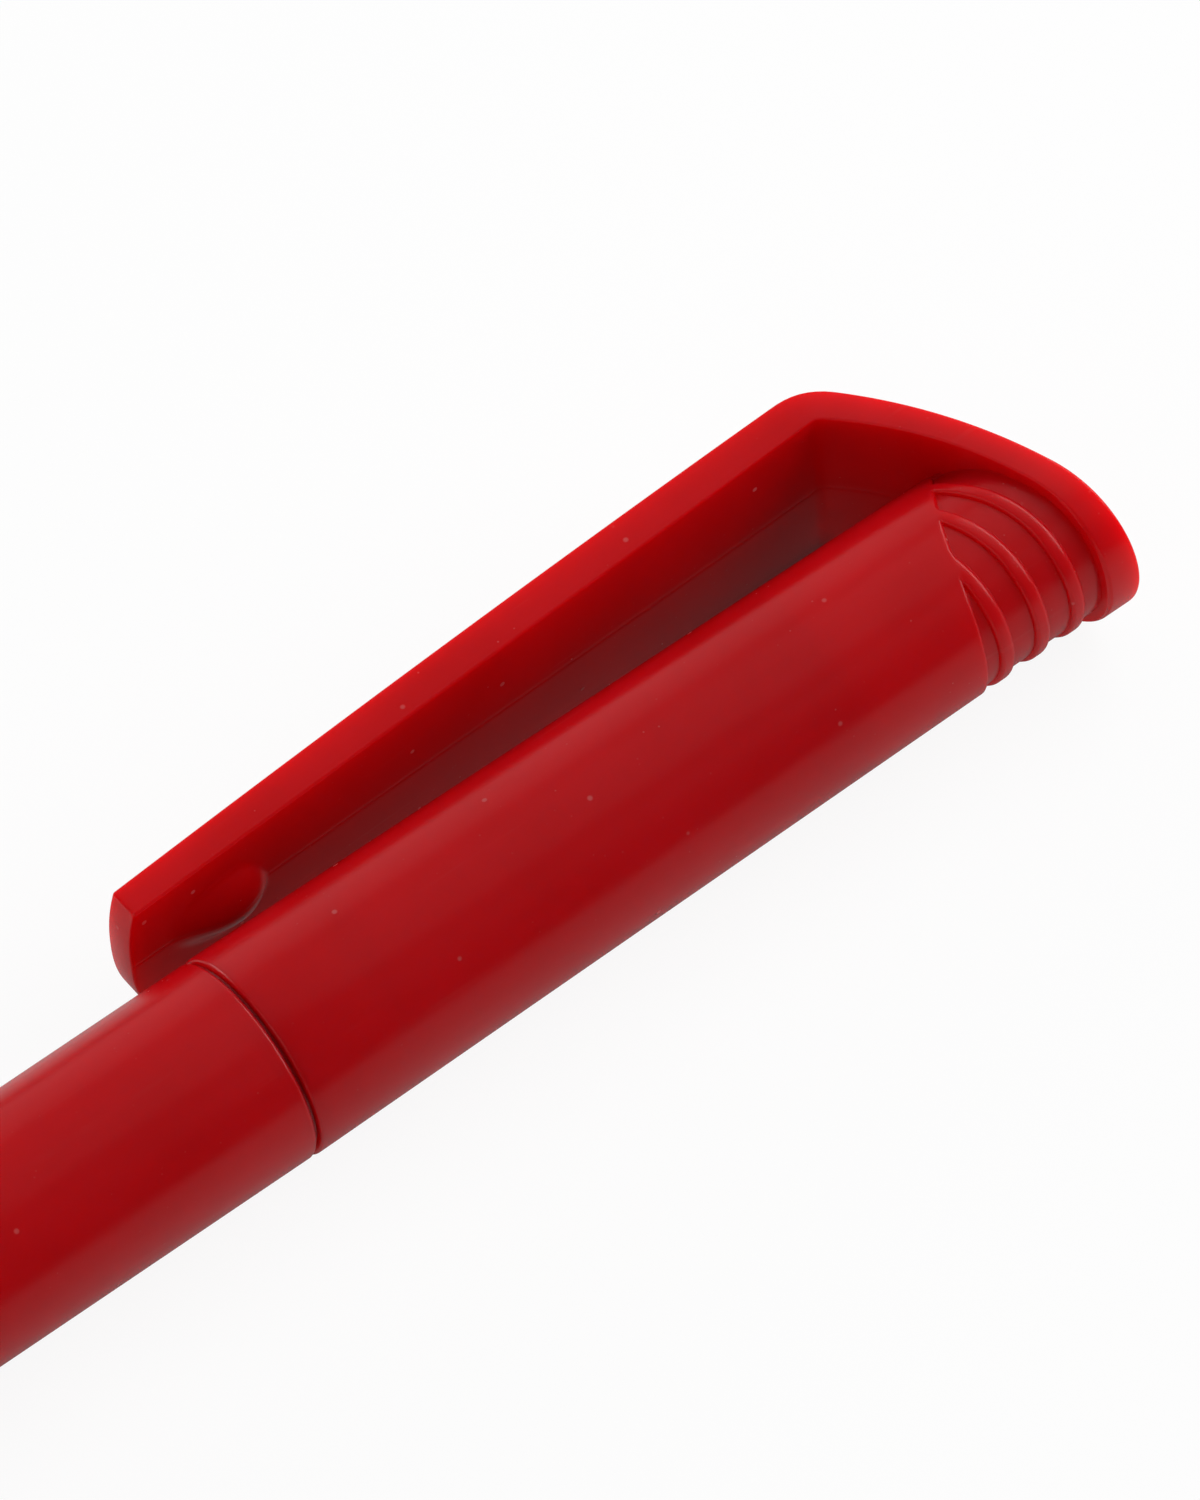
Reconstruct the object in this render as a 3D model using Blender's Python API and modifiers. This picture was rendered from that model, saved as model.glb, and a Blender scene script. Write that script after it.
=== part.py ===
"""Twist-action ballpoint pen with a moulded clip and a slanted, ribbed hood.

The pen lies on its side: the axis runs along X with the writing tip at -X, the clip points to +Y, and the
flat flank of the hood rests on Z = 0. Inside, sizes are given in the pen's own frame: X is measured from
the seam between the two barrels, towards the hood.
"""

import math

import bmesh
import bpy
from mathutils import Matrix

MM = 0.001

# Facets
ROUND_STEPS = 48
ARC_STEPS = 10
SEAM_STEPS = 4

# Clearances
FIXED_FIT = 0.06 * MM
RUNNING_FIT = 0.1 * MM
FACE_GAP = 0.1 * MM
PIN_PLAY = 0.25 * MM
CUT_MARGIN = 0.05 * MM

# Barrels
UPPER_RADIUS = 5.5 * MM
UPPER_TAPER = 0.42 * MM
UPPER_WALL = 1.1 * MM
SEAM_GAP = 0.3 * MM
SEAM_STEP = 0.04 * MM
SEAM_ROUNDING = 0.35 * MM
LOWER_LENGTH = 68.0 * MM
LOWER_STRAIGHT = 46.0 * MM
LOWER_SLIGHT_TAPER = 0.05 * MM
LOWER_END_TAPER = 0.42 * MM
LOWER_WALL = 1.1 * MM

# Nose cone
NOSE_LENGTH = 22.0 * MM
NOSE_TIP_RADIUS = 1.75 * MM
NOSE_SWELL = 0.55 * MM
NOSE_LIP_ROUNDING = 0.3 * MM
NOSE_SPIGOT_LENGTH = 9.0 * MM
SPRING_SEAT_DEPTH = 5.5 * MM
SPRING_CHAMBER_LENGTH = 12.5 * MM
SPRING_CHAMBER_PLAY = 0.4 * MM

# Clip, seen from the side: heights are measured from the pen's axis
CLIP_OVERHANG = 0.79 * MM
CLIP_END_BULGE = 0.53 * MM
CLIP_GAP = 2.3 * MM
CLIP_RISE = 1.0 * MM
CLIP_TIP_THICKNESS = 1.56 * MM
CLIP_ROOT_THICKNESS = 1.95 * MM
CLIP_BOW = 0.23 * MM
CLIP_TIP_HALF_WIDTH = 3.85 * MM
CLIP_DRAFT = 0.2 * MM
BEAD_FROM_SEAM = 4.0 * MM
BEAD_LENGTH = 5.6 * MM
BEAD_WIDTH = 3.2 * MM
BEAD_HEIGHT = 0.9 * MM

# Hood
HOOD_CORNER_X = 41.1 * MM
HOOD_END_X = 49.45 * MM
HOOD_THICKNESS = 1.77 * MM
HOOD_INNER_RADIUS = 20.8 * MM
HOOD_OUTER_RADIUS = 26.9 * MM
HOOD_CORNER_RADIUS = 3.8 * MM
HOOD_OUTER_OFFSET = 0.5 * MM

# Curved ribs below the hood
RIB_COUNT = 3
RIB_PITCH = 2.18 * MM
RIB_CREST_WIDTH = 0.87 * MM
RIB_TOP_GROOVE = 1.07 * MM
RIB_DEPTH = 0.22 * MM
RIB_CREST_DROP = 0.03 * MM
RIB_FIELD_RADIUS = 22.2 * MM
RIB_FIELD_DROP = 3.15 * MM

# Twist mechanism
TWIST_DEG = 150.0
STROKE = 5.0 * MM
GUIDE_SKIRT_LENGTH = 12.0 * MM
GUIDE_NECK_LENGTH = 9.0 * MM
GUIDE_TUBE_LENGTH = 22.0 * MM
GUIDE_TUBE_WALL = 0.58 * MM
SNAP_BEAD_X = 6.0 * MM
SNAP_BEAD_HEIGHT = 0.2 * MM
SNAP_BEAD_WIDTH = 0.8 * MM
CAM_FROM_NECK = 1.0 * MM
CAM_LENGTH = 23.4 * MM
CAM_PIN_RADIUS = 0.75 * MM
CAM_PIN_FROM_TOP = 7.6 * MM
CAM_STEPS = 20
PLUNGER_ABOVE_PIN = 2.5 * MM
PLUNGER_CHAMFER = 0.5 * MM
BORE_BELOW_HOOD = 1.5 * MM
BORE_TOP_WALL = 1.1 * MM

# Refill, measured back from the writing end
REFILL_LENGTH = 98.1 * MM
REFILL_RADIUS = 2.92 * MM
REFILL_WALL = 0.6 * MM
RETRACT_DEPTH = 2.0 * MM
BALL_RADIUS = 0.5 * MM
BALL_SHOW = 0.3 * MM
BALL_PLAY = 0.03 * MM
TIP_LIP = 0.1 * MM
TIP_CONE_LENGTH = 4.2 * MM
TIP_RADIUS = 1.15 * MM
TIP_SHANK_END = 11.0 * MM
TIP_SPIGOT_LENGTH = 4.0 * MM
TIP_SPIGOT_RADIUS = 0.85 * MM
TIP_INK_BORE = 0.3 * MM
SOCKET_RADIUS = 1.5 * MM
SOCKET_END = 24.0 * MM
SOCKET_FLANGE = 1.5 * MM
SOCKET_SPIGOT_LENGTH = 4.0 * MM
SOCKET_INK_BORE = 0.6 * MM
AIR_LENGTH = 8.8 * MM
GREASE_LENGTH = 4.0 * MM
PLUG_HEAD_LENGTH = 5.0 * MM
PLUG_SPIGOT_LENGTH = 4.0 * MM
PLUG_VENT_RADIUS = 0.5 * MM

# Return spring
SPRING_WIRE_RADIUS = 0.2 * MM
SPRING_PLAY = 0.3 * MM
SPRING_TURNS = 9
SPRING_POINTS_PER_TURN = 10

# Places worked out from the sizes above
LOWER_RADIUS = UPPER_RADIUS - SEAM_STEP
UPPER_BORE = UPPER_RADIUS - UPPER_WALL
LOWER_END_RADIUS = LOWER_RADIUS - LOWER_SLIGHT_TAPER - LOWER_END_TAPER
LOWER_BORE = LOWER_END_RADIUS - LOWER_WALL
NOSE_JOINT_X = -LOWER_LENGTH
NOSE_TIP_X = NOSE_JOINT_X - NOSE_LENGTH
HOOD_RADIUS = UPPER_RADIUS
CLIP_TIP_X = -CLIP_OVERHANG
CLIP_UNDER_TIP = UPPER_RADIUS + CLIP_GAP
CLIP_UNDER_ROOT = CLIP_UNDER_TIP + CLIP_RISE
CLIP_TOP_ROOT = CLIP_UNDER_ROOT + CLIP_ROOT_THICKNESS
REFILL_FRONT_X = NOSE_TIP_X + RETRACT_DEPTH
REFILL_REAR_X = REFILL_FRONT_X + REFILL_LENGTH
GUIDE_BORE = REFILL_RADIUS + RUNNING_FIT
GUIDE_TUBE_RADIUS = GUIDE_BORE + GUIDE_TUBE_WALL
GUIDE_NECK_RADIUS = UPPER_BORE - RUNNING_FIT
GUIDE_SKIRT_RADIUS = GUIDE_NECK_RADIUS - FIXED_FIT
CAM_BOTTOM_X = GUIDE_NECK_LENGTH + CAM_FROM_NECK
CAM_TOP_X = CAM_BOTTOM_X + CAM_LENGTH
CAM_PIN_X = CAM_TOP_X - CAM_PIN_FROM_TOP
CAM_PIN_REACH = UPPER_BORE - 2 * RUNNING_FIT
SPRING_RADIUS = SOCKET_RADIUS + SPRING_PLAY + SPRING_WIRE_RADIUS
SPRING_CHAMBER_RADIUS = SPRING_RADIUS + SPRING_WIRE_RADIUS + SPRING_CHAMBER_PLAY
CUT_REACH = 3 * HOOD_RADIUS

# The pen's axis in the world, with the origin at the middle of the box on the surface that it lies on
AXIS_X = -(HOOD_END_X + NOSE_TIP_X) / 2
AXIS_Y = -(CLIP_TOP_ROOT - HOOD_RADIUS) / 2
AXIS_Z = HOOD_RADIUS


def clear_scene():
    for obj in list(bpy.data.objects):
        bpy.data.objects.remove(obj, do_unlink=True)


def new_collection(name):
    collection = bpy.data.collections.new(name)
    bpy.context.scene.collection.children.link(collection)
    return collection


def material(name, color, roughness, metallic=0.0):
    made = bpy.data.materials.new(name)
    made.use_nodes = True
    shader = made.node_tree.nodes["Principled BSDF"]
    shader.inputs["Base Color"].default_value = (*color, 1.0)
    shader.inputs["Roughness"].default_value = roughness
    shader.inputs["Metallic"].default_value = metallic
    made.diffuse_color = (*color, 1.0)
    return made


def mesh_object(name, mesh):
    obj = bpy.data.objects.new(name, mesh)
    cutters.objects.link(obj)
    obj.parent = axis
    obj.hide_render = True
    obj.display_type = "WIRE"
    return obj


def finish(obj, surface, smooth_deg=35.0):
    """Turns a helper object into a visible part."""
    cutters.objects.unlink(obj)
    parts.objects.link(obj)
    obj.hide_render = False
    obj.display_type = "TEXTURED"
    obj.data.materials.clear()
    obj.data.materials.append(surface)
    obj.data.shade_smooth()
    obj.data.set_sharp_from_angle(angle=math.radians(smooth_deg))
    return obj


def evaluated_mesh(obj):
    bpy.context.view_layer.update()
    graph = bpy.context.evaluated_depsgraph_get()
    return bpy.data.meshes.new_from_object(obj.evaluated_get(graph))


def cleaned(mesh, weld=1e-7):
    cage = bmesh.new()
    cage.from_mesh(mesh)
    bmesh.ops.remove_doubles(cage, verts=cage.verts, dist=weld)
    bmesh.ops.recalc_face_normals(cage, faces=cage.faces)
    cage.to_mesh(mesh)
    cage.free()
    return mesh


def turned(name, profile, steps=ROUND_STEPS):
    """A solid of revolution about X. The profile holds (x, radius) points, down the outside first."""
    mesh = bpy.data.meshes.new(name)
    points = [(radius, 0.0, x) for x, radius in profile]
    edges = [(i, i + 1) for i in range(len(points) - 1)]
    if profile[0][1] > 0 or profile[-1][1] > 0:
        edges.append((len(points) - 1, 0))
    mesh.from_pydata(points, edges, [])
    spun = bpy.data.objects.new(name, mesh)
    bpy.context.scene.collection.objects.link(spun)
    screw = spun.modifiers.new("Turn", "SCREW")
    screw.axis = "Z"
    screw.angle = math.tau
    screw.steps = steps
    screw.render_steps = steps
    screw.use_merge_vertices = True
    screw.merge_threshold = 1e-7
    solid = cleaned(evaluated_mesh(spun))
    bpy.data.objects.remove(spun, do_unlink=True)
    solid.transform(Matrix.Rotation(math.radians(90), 4, "Y"))
    return mesh_object(name, solid)


PRISM_TURNS = {
    "X": Matrix(((0, 0, 1, 0), (1, 0, 0, 0), (0, 1, 0, 0), (0, 0, 0, 1))),
    "Y": Matrix(((0, 1, 0, 0), (0, 0, 1, 0), (1, 0, 0, 0), (0, 0, 0, 1))),
    "Z": Matrix.Identity(4),
}


def prism(name, outline, low, high, along="Z"):
    """A flat outline pushed out along one axis. Outlines hold (y, z), (z, x) or (x, y) points."""
    curve = bpy.data.curves.new(name, "CURVE")
    curve.dimensions = "2D"
    curve.fill_mode = "BOTH"
    curve.extrude = (high - low) / 2
    spline = curve.splines.new("POLY")
    spline.points.add(len(outline) - 1)
    for point, (first, second) in zip(spline.points, outline):
        point.co = (first, second, 0.0, 1.0)
    spline.use_cyclic_u = True
    flat = bpy.data.objects.new(name, curve)
    bpy.context.scene.collection.objects.link(flat)
    solid = cleaned(evaluated_mesh(flat))
    bpy.data.objects.remove(flat, do_unlink=True)
    solid.transform(Matrix.Translation((0, 0, (high + low) / 2)))
    solid.transform(PRISM_TURNS[along])
    return mesh_object(name, cleaned(solid))


def loft(name, sections):
    """A solid through outlines of (x, y) points at several z, each with as many points as the next."""
    cage = bmesh.new()
    rings = [[cage.verts.new((x, y, z)) for x, y in outline] for z, outline in sections]
    count = len(rings[0])
    for ring, following in zip(rings, rings[1:]):
        for i in range(count):
            j = (i + 1) % count
            cage.faces.new((ring[i], ring[j], following[j], following[i]))
    cage.faces.new(rings[0])
    cage.faces.new(rings[-1])
    bmesh.ops.recalc_face_normals(cage, faces=cage.faces)
    mesh = bpy.data.meshes.new(name)
    cage.to_mesh(mesh)
    cage.free()
    return mesh_object(name, mesh)


def combine(obj, operation, *others):
    for other in others:
        modifier = obj.modifiers.new(f"{operation.title()} {other.name}", "BOOLEAN")
        modifier.operation = operation
        modifier.solver = "EXACT"
        modifier.object = other
    return obj


def arc_between(start, end, radius, steps):
    """Points on the arc from start to end that bulges to the left of the way from start to end."""
    (x0, y0), (x1, y1) = start, end
    half = math.hypot(x1 - x0, y1 - y0) / 2
    height = math.sqrt(radius**2 - half**2)
    centre_x = (x0 + x1) / 2 + (y1 - y0) / (2 * half) * height
    centre_y = (y0 + y1) / 2 - (x1 - x0) / (2 * half) * height
    first = math.atan2(y0 - centre_y, x0 - centre_x)
    sweep = -2 * math.asin(half / radius)
    turns = [first + sweep * i / steps for i in range(steps + 1)]
    return [(centre_x + radius * math.cos(t), centre_y + radius * math.sin(t)) for t in turns]


def rounded_corner(before, corner, after, radius, steps):
    """The arc that rounds the corner between two straight lines."""
    to_before = math.atan2(before[1] - corner[1], before[0] - corner[0])
    to_after = math.atan2(after[1] - corner[1], after[0] - corner[0])
    spread = (to_after - to_before) % math.tau
    half = min(spread, math.tau - spread) / 2
    reach = radius / math.tan(half)
    start = (corner[0] + reach * math.cos(to_before), corner[1] + reach * math.sin(to_before))
    end = (corner[0] + reach * math.cos(to_after), corner[1] + reach * math.sin(to_after))
    return arc_between(start, end, radius, steps)


def upper_radius_at(x):
    return UPPER_RADIUS - UPPER_TAPER * x / HOOD_CORNER_X


def clip_under_at(x):
    return CLIP_UNDER_TIP + CLIP_RISE * (x - CLIP_TIP_X) / (HOOD_CORNER_X - CLIP_TIP_X)


def hood_inner_arc(shift, steps=ARC_STEPS):
    """The hood's inner side in side view, from the clip's root down past the barrel, moved along X."""
    foot = HOOD_END_X - HOOD_THICKNESS
    start = (HOOD_CORNER_X + shift, CLIP_UNDER_ROOT)
    return arc_between(start, (foot + shift, -HOOD_RADIUS), HOOD_INNER_RADIUS, steps)


def hood_outer_arc():
    """The hood's outer side in side view, from the clip's outer side down to the barrel's lower side."""
    start = (HOOD_CORNER_X + HOOD_OUTER_OFFSET, CLIP_TOP_ROOT)
    return arc_between(start, (HOOD_END_X, -HOOD_RADIUS), HOOD_OUTER_RADIUS, 2 * ARC_STEPS)


def band_outline(inset):
    """Clip arm and hood in side view. The inset thickens the band on its inner side, for the mould's draft."""
    past_tip = CLIP_TIP_X - CLIP_END_BULGE - HOOD_THICKNESS
    top_tip = CLIP_UNDER_TIP + CLIP_TIP_THICKNESS
    hood = hood_outer_arc()
    corner = hood[0]
    top = []
    for i in range(ARC_STEPS):
        share = i / ARC_STEPS
        x = past_tip + (corner[0] - past_tip) * share
        y = top_tip + (corner[1] - top_tip) * share + 4 * CLIP_BOW * share * (1 - share)
        top.append((x, y))
    bend = rounded_corner(top[-1], corner, hood[1], HOOD_CORNER_RADIUS, ARC_STEPS // 2)
    top = [point for point in top if point[0] < bend[0][0]]
    hood = [point for point in hood if point[1] < bend[-1][1]]
    below = -CUT_REACH
    inner = [(x - inset, y - inset) for x, y in hood_inner_arc(0.0)]
    outline = top + bend + hood
    outline += [(hood[-1][0], below), (inner[-1][0], below)]
    outline += inner[::-1]
    outline.append((past_tip, clip_under_at(past_tip) - inset))
    return outline


def clip_and_hood():
    """The bent band of clip and hood, cut to its width. The draft falls to nothing at the hood's edges."""
    edge = CLIP_DRAFT * (1 - CUT_REACH / HOOD_RADIUS)
    sections = [
        (-CUT_REACH, band_outline(edge)),
        (0.0, band_outline(CLIP_DRAFT)),
        (CUT_REACH, band_outline(edge)),
    ]
    band = loft("clip_and_hood", sections)

    tall = CLIP_TOP_ROOT + CUT_REACH
    half_turn = [math.pi / 2 + math.pi * i / (ROUND_STEPS // 2) for i in range(ROUND_STEPS // 2 + 1)]
    column = [(HOOD_RADIUS * math.cos(t), HOOD_RADIUS * math.sin(t)) for t in half_turn]
    column += [(tall, -HOOD_RADIUS), (tall, HOOD_RADIUS)]
    width = prism("hood_width", column, -CUT_REACH, HOOD_END_X + CUT_REACH, "X")

    half = CLIP_TIP_HALF_WIDTH
    end_radius = (half**2 + CLIP_END_BULGE**2) / (2 * CLIP_END_BULGE)
    plan = arc_between((-half, CLIP_TIP_X), (half, CLIP_TIP_X), end_radius, ARC_STEPS)
    plan = [(z, 2 * CLIP_TIP_X - x) for z, x in plan]
    root = HOOD_RADIUS + CUT_MARGIN
    past = HOOD_END_X + CUT_REACH
    plan += [(root, HOOD_CORNER_X), (root, past), (-root, past), (-root, HOOD_CORNER_X)]
    taper = prism("clip_plan", plan, -tall, tall, "Y")
    return combine(band, "INTERSECT", width, taper)


def clip_bead():
    """The bump under the clip that grips the cloth of a pocket."""
    cage = bmesh.new()
    bmesh.ops.create_uvsphere(cage, u_segments=24, v_segments=12, radius=0.5)
    mesh = bpy.data.meshes.new("clip_bead")
    cage.to_mesh(mesh)
    cage.free()
    seat = (BEAD_FROM_SEAM, clip_under_at(BEAD_FROM_SEAM) - CLIP_DRAFT / 2, 0.0)
    size = Matrix.Diagonal((BEAD_LENGTH, 2 * BEAD_HEIGHT, BEAD_WIDTH, 1.0))
    mesh.transform(Matrix.Translation(seat) @ size)
    return mesh_object("clip_bead", mesh)


def rib_zone():
    """The round field of ribs in side view, taken right through the barrel."""
    foot = HOOD_END_X - HOOD_THICKNESS - RIB_TOP_GROOVE - RIB_COUNT * RIB_PITCH
    centre = (foot + RIB_FIELD_RADIUS, -UPPER_RADIUS - RIB_FIELD_DROP)
    count = 8 * ARC_STEPS
    turns = [math.tau * i / count for i in range(count)]
    return [
        (centre[0] + RIB_FIELD_RADIUS * math.cos(t), centre[1] + RIB_FIELD_RADIUS * math.sin(t))
        for t in turns
    ]


def barrel_cone(name, inset):
    """The upper barrel's outer cone, made smaller by the inset and longer at both ends."""
    past = HOOD_END_X + HOOD_RADIUS
    profile = [(past, upper_radius_at(past) - inset), (-past, upper_radius_at(-past) - inset)]
    return turned(name, [(past, 0.0), *profile, (-past, 0.0)])


def rib(index):
    """One crest, parallel to the hood's inner side, standing on the floor of the rib field."""
    right = -RIB_TOP_GROOVE - index * RIB_PITCH
    outline = hood_inner_arc(right) + hood_inner_arc(right - RIB_CREST_WIDTH)[::-1]
    name = f"rib_{index + 1}"
    crest = prism(name, outline, -CUT_REACH, CUT_REACH)
    field = prism(f"{name}_field", rib_zone(), -2 * CUT_REACH, 2 * CUT_REACH)
    return combine(crest, "INTERSECT", barrel_cone(f"{name}_top", RIB_CREST_DROP), field)


def upper_bore():
    """Everything that is hollow in the upper barrel, from the seam upwards."""
    top = CAM_TOP_X + FACE_GAP
    end = HOOD_CORNER_X - BORE_BELOW_HOOD
    narrow = upper_radius_at(HOOD_CORNER_X) - RIB_DEPTH - BORE_TOP_WALL
    groove = UPPER_BORE + SNAP_BEAD_HEIGHT
    half = SNAP_BEAD_WIDTH / 2 + RUNNING_FIT
    return turned(
        "upper_bore",
        [
            (end, 0.0),
            (end, narrow),
            (top, narrow),
            (top, UPPER_BORE),
            (SNAP_BEAD_X + half + SNAP_BEAD_HEIGHT, UPPER_BORE),
            (SNAP_BEAD_X + half, groove),
            (SNAP_BEAD_X - half, groove),
            (SNAP_BEAD_X - half - SNAP_BEAD_HEIGHT, UPPER_BORE),
            (-UPPER_RADIUS, UPPER_BORE),
            (-UPPER_RADIUS, 0.0),
        ],
    )


def make_upper_barrel():
    top = HOOD_END_X
    low = SEAM_GAP / 2
    edge = SEAM_ROUNDING / 2
    profile = [
        (top, 0.0),
        (top, upper_radius_at(top)),
        (low + edge, upper_radius_at(low + edge)),
        (low, upper_radius_at(low) - edge),
        (low, 0.0),
    ]
    barrel = turned("upper_barrel", profile)

    inside_hood = hood_inner_arc(HOOD_THICKNESS / 2)
    cap = [(-CUT_REACH, CUT_REACH), (inside_hood[0][0], CUT_REACH), *inside_hood]
    cap += [(inside_hood[-1][0], -CUT_REACH), (-CUT_REACH, -CUT_REACH)]
    combine(barrel, "INTERSECT", prism("barrel_top", cap, -CUT_REACH, CUT_REACH))

    field = prism("rib_field", rib_zone(), -CUT_REACH, CUT_REACH)
    combine(field, "DIFFERENCE", barrel_cone("rib_floor", RIB_DEPTH))
    combine(barrel, "DIFFERENCE", field)
    for index in range(RIB_COUNT):
        combine(barrel, "UNION", rib(index))
    combine(barrel, "UNION", clip_and_hood(), clip_bead())
    combine(barrel, "DIFFERENCE", upper_bore())
    return finish(barrel, red)


def make_lower_barrel():
    top = -SEAM_GAP / 2
    seat = -GUIDE_SKIRT_LENGTH - FACE_GAP
    mouth = GUIDE_SKIRT_RADIUS + FIXED_FIT
    rounding = [math.pi / 2 * i / SEAM_STEPS for i in range(SEAM_STEPS + 1)]
    shoulder = [
        (
            top - SEAM_ROUNDING * (1 - math.cos(t)),
            LOWER_RADIUS - SEAM_ROUNDING * (1 - math.sin(t)),
        )
        for t in rounding
    ]
    outside = shoulder + [
        (-LOWER_STRAIGHT, LOWER_RADIUS - LOWER_SLIGHT_TAPER),
        (NOSE_JOINT_X, LOWER_END_RADIUS),
    ]
    inside = [(NOSE_JOINT_X, LOWER_BORE), (seat, LOWER_BORE), (seat, mouth), (top, mouth)]
    return finish(turned("lower_barrel", outside + inside), red)


def make_nose_cone():
    joint = NOSE_JOINT_X - FACE_GAP
    spigot_end = NOSE_JOINT_X + NOSE_SPIGOT_LENGTH
    spigot = LOWER_BORE - FIXED_FIT
    hole = TIP_RADIUS + 2 * RUNNING_FIT
    passage = REFILL_RADIUS + 2 * RUNNING_FIT
    seat = NOSE_TIP_X + SPRING_SEAT_DEPTH
    chamber_end = seat + SPRING_CHAMBER_LENGTH
    lip = NOSE_TIP_X + NOSE_LIP_ROUNDING
    outside = []
    for i in range(ARC_STEPS + 1):
        share = i / ARC_STEPS
        x = joint + (lip - joint) * share
        straight = LOWER_END_RADIUS + (NOSE_TIP_RADIUS - LOWER_END_RADIUS) * share
        outside.append((x, straight + 4 * NOSE_SWELL * share * (1 - share)))
    outside.append((NOSE_TIP_X, NOSE_TIP_RADIUS - NOSE_LIP_ROUNDING))
    profile = [(spigot_end, spigot), (joint, spigot), *outside]
    profile += [
        (NOSE_TIP_X, hole),
        (seat, hole),
        (seat, SPRING_CHAMBER_RADIUS),
        (chamber_end, SPRING_CHAMBER_RADIUS),
        (chamber_end + passage - SPRING_CHAMBER_RADIUS, passage),
        (spigot_end, passage),
    ]
    return finish(turned("nose_cone", profile), red)


def make_guide_sleeve():
    bead = GUIDE_NECK_RADIUS + SNAP_BEAD_HEIGHT
    half = SNAP_BEAD_WIDTH / 2
    top = GUIDE_NECK_LENGTH + GUIDE_TUBE_LENGTH
    profile = [
        (top, GUIDE_TUBE_RADIUS),
        (GUIDE_NECK_LENGTH, GUIDE_TUBE_RADIUS),
        (GUIDE_NECK_LENGTH, GUIDE_NECK_RADIUS),
        (SNAP_BEAD_X + half + SNAP_BEAD_HEIGHT, GUIDE_NECK_RADIUS),
        (SNAP_BEAD_X + half, bead),
        (SNAP_BEAD_X - half, bead),
        (SNAP_BEAD_X - half - SNAP_BEAD_HEIGHT, GUIDE_NECK_RADIUS),
        (0.0, GUIDE_NECK_RADIUS),
        (0.0, GUIDE_SKIRT_RADIUS),
        (-GUIDE_SKIRT_LENGTH, GUIDE_SKIRT_RADIUS),
        (-GUIDE_SKIRT_LENGTH, GUIDE_BORE),
        (top, GUIDE_BORE),
    ]
    sleeve = turned("guide_sleeve", profile)
    half_slot = CAM_PIN_RADIUS + PIN_PLAY
    low = CAM_PIN_X - STROKE - half_slot
    high = CAM_PIN_X + half_slot
    outline = [(low, -half_slot), (high, -half_slot), (high, half_slot), (low, half_slot)]
    combine(sleeve, "DIFFERENCE", prism("guide_slots", outline, -CUT_REACH, CUT_REACH))
    return finish(sleeve, white)


def helical_cutter(name, start_deg):
    """A bar that winds down the cam sleeve as the sleeve turns past the plunger's pin."""
    half = (CAM_PIN_RADIUS + PIN_PLAY) / math.cos(math.atan2(STROKE, math.radians(TWIST_DEG) * UPPER_BORE))
    inner = GUIDE_TUBE_RADIUS
    outer = UPPER_RADIUS
    spare = math.degrees((CAM_PIN_RADIUS + PIN_PLAY) / GUIDE_TUBE_RADIUS)
    rings = []
    for i in range(CAM_STEPS + 1):
        turned_by = -spare + (TWIST_DEG + 2 * spare) * i / CAM_STEPS
        within = min(max(turned_by, 0.0), TWIST_DEG)
        x = CAM_PIN_X - STROKE * within / TWIST_DEG
        angle = math.radians(start_deg + turned_by)
        ring = []
        for radius, side in ((inner, -half), (outer, -half), (outer, half), (inner, half)):
            ring.append((x + side, -radius * math.sin(angle), radius * math.cos(angle)))
        rings.append(ring)
    cage = bmesh.new()
    rows = [[cage.verts.new(point) for point in ring] for ring in rings]
    for row, following in zip(rows, rows[1:]):
        for i in range(4):
            j = (i + 1) % 4
            cage.faces.new((row[i], row[j], following[j], following[i]))
    cage.faces.new(rows[0])
    cage.faces.new(rows[-1])
    bmesh.ops.recalc_face_normals(cage, faces=cage.faces)
    mesh = bpy.data.meshes.new(name)
    cage.to_mesh(mesh)
    cage.free()
    return mesh_object(name, mesh)


def make_cam_sleeve():
    outer = UPPER_BORE - FIXED_FIT
    inner = GUIDE_TUBE_RADIUS + RUNNING_FIT
    profile = [(CAM_TOP_X, outer), (CAM_BOTTOM_X, outer), (CAM_BOTTOM_X, inner), (CAM_TOP_X, inner)]
    sleeve = turned("cam_sleeve", profile)
    combine(sleeve, "DIFFERENCE", helical_cutter("helix_near", 0.0), helical_cutter("helix_far", 180.0))
    return finish(sleeve, black)


def make_plunger():
    low = REFILL_REAR_X + FACE_GAP
    radius = GUIDE_BORE - RUNNING_FIT
    high = CAM_PIN_X + PLUNGER_ABOVE_PIN
    profile = [
        (high, 0.0),
        (high, radius - PLUNGER_CHAMFER),
        (high - PLUNGER_CHAMFER, radius),
        (low, radius),
        (low, 0.0),
    ]
    plunger = turned("plunger", profile)
    pin = turned("plunger_pin", [
        (CAM_PIN_REACH, 0.0),
        (CAM_PIN_REACH, CAM_PIN_RADIUS),
        (-CAM_PIN_REACH, CAM_PIN_RADIUS),
        (-CAM_PIN_REACH, 0.0),
    ], ROUND_STEPS // 2)
    pin.data.transform(Matrix.Rotation(math.radians(90), 4, "Y"))
    pin.data.transform(Matrix.Translation((CAM_PIN_X, 0.0, 0.0)))
    combine(plunger, "UNION", pin)
    return finish(plunger, white)


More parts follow.
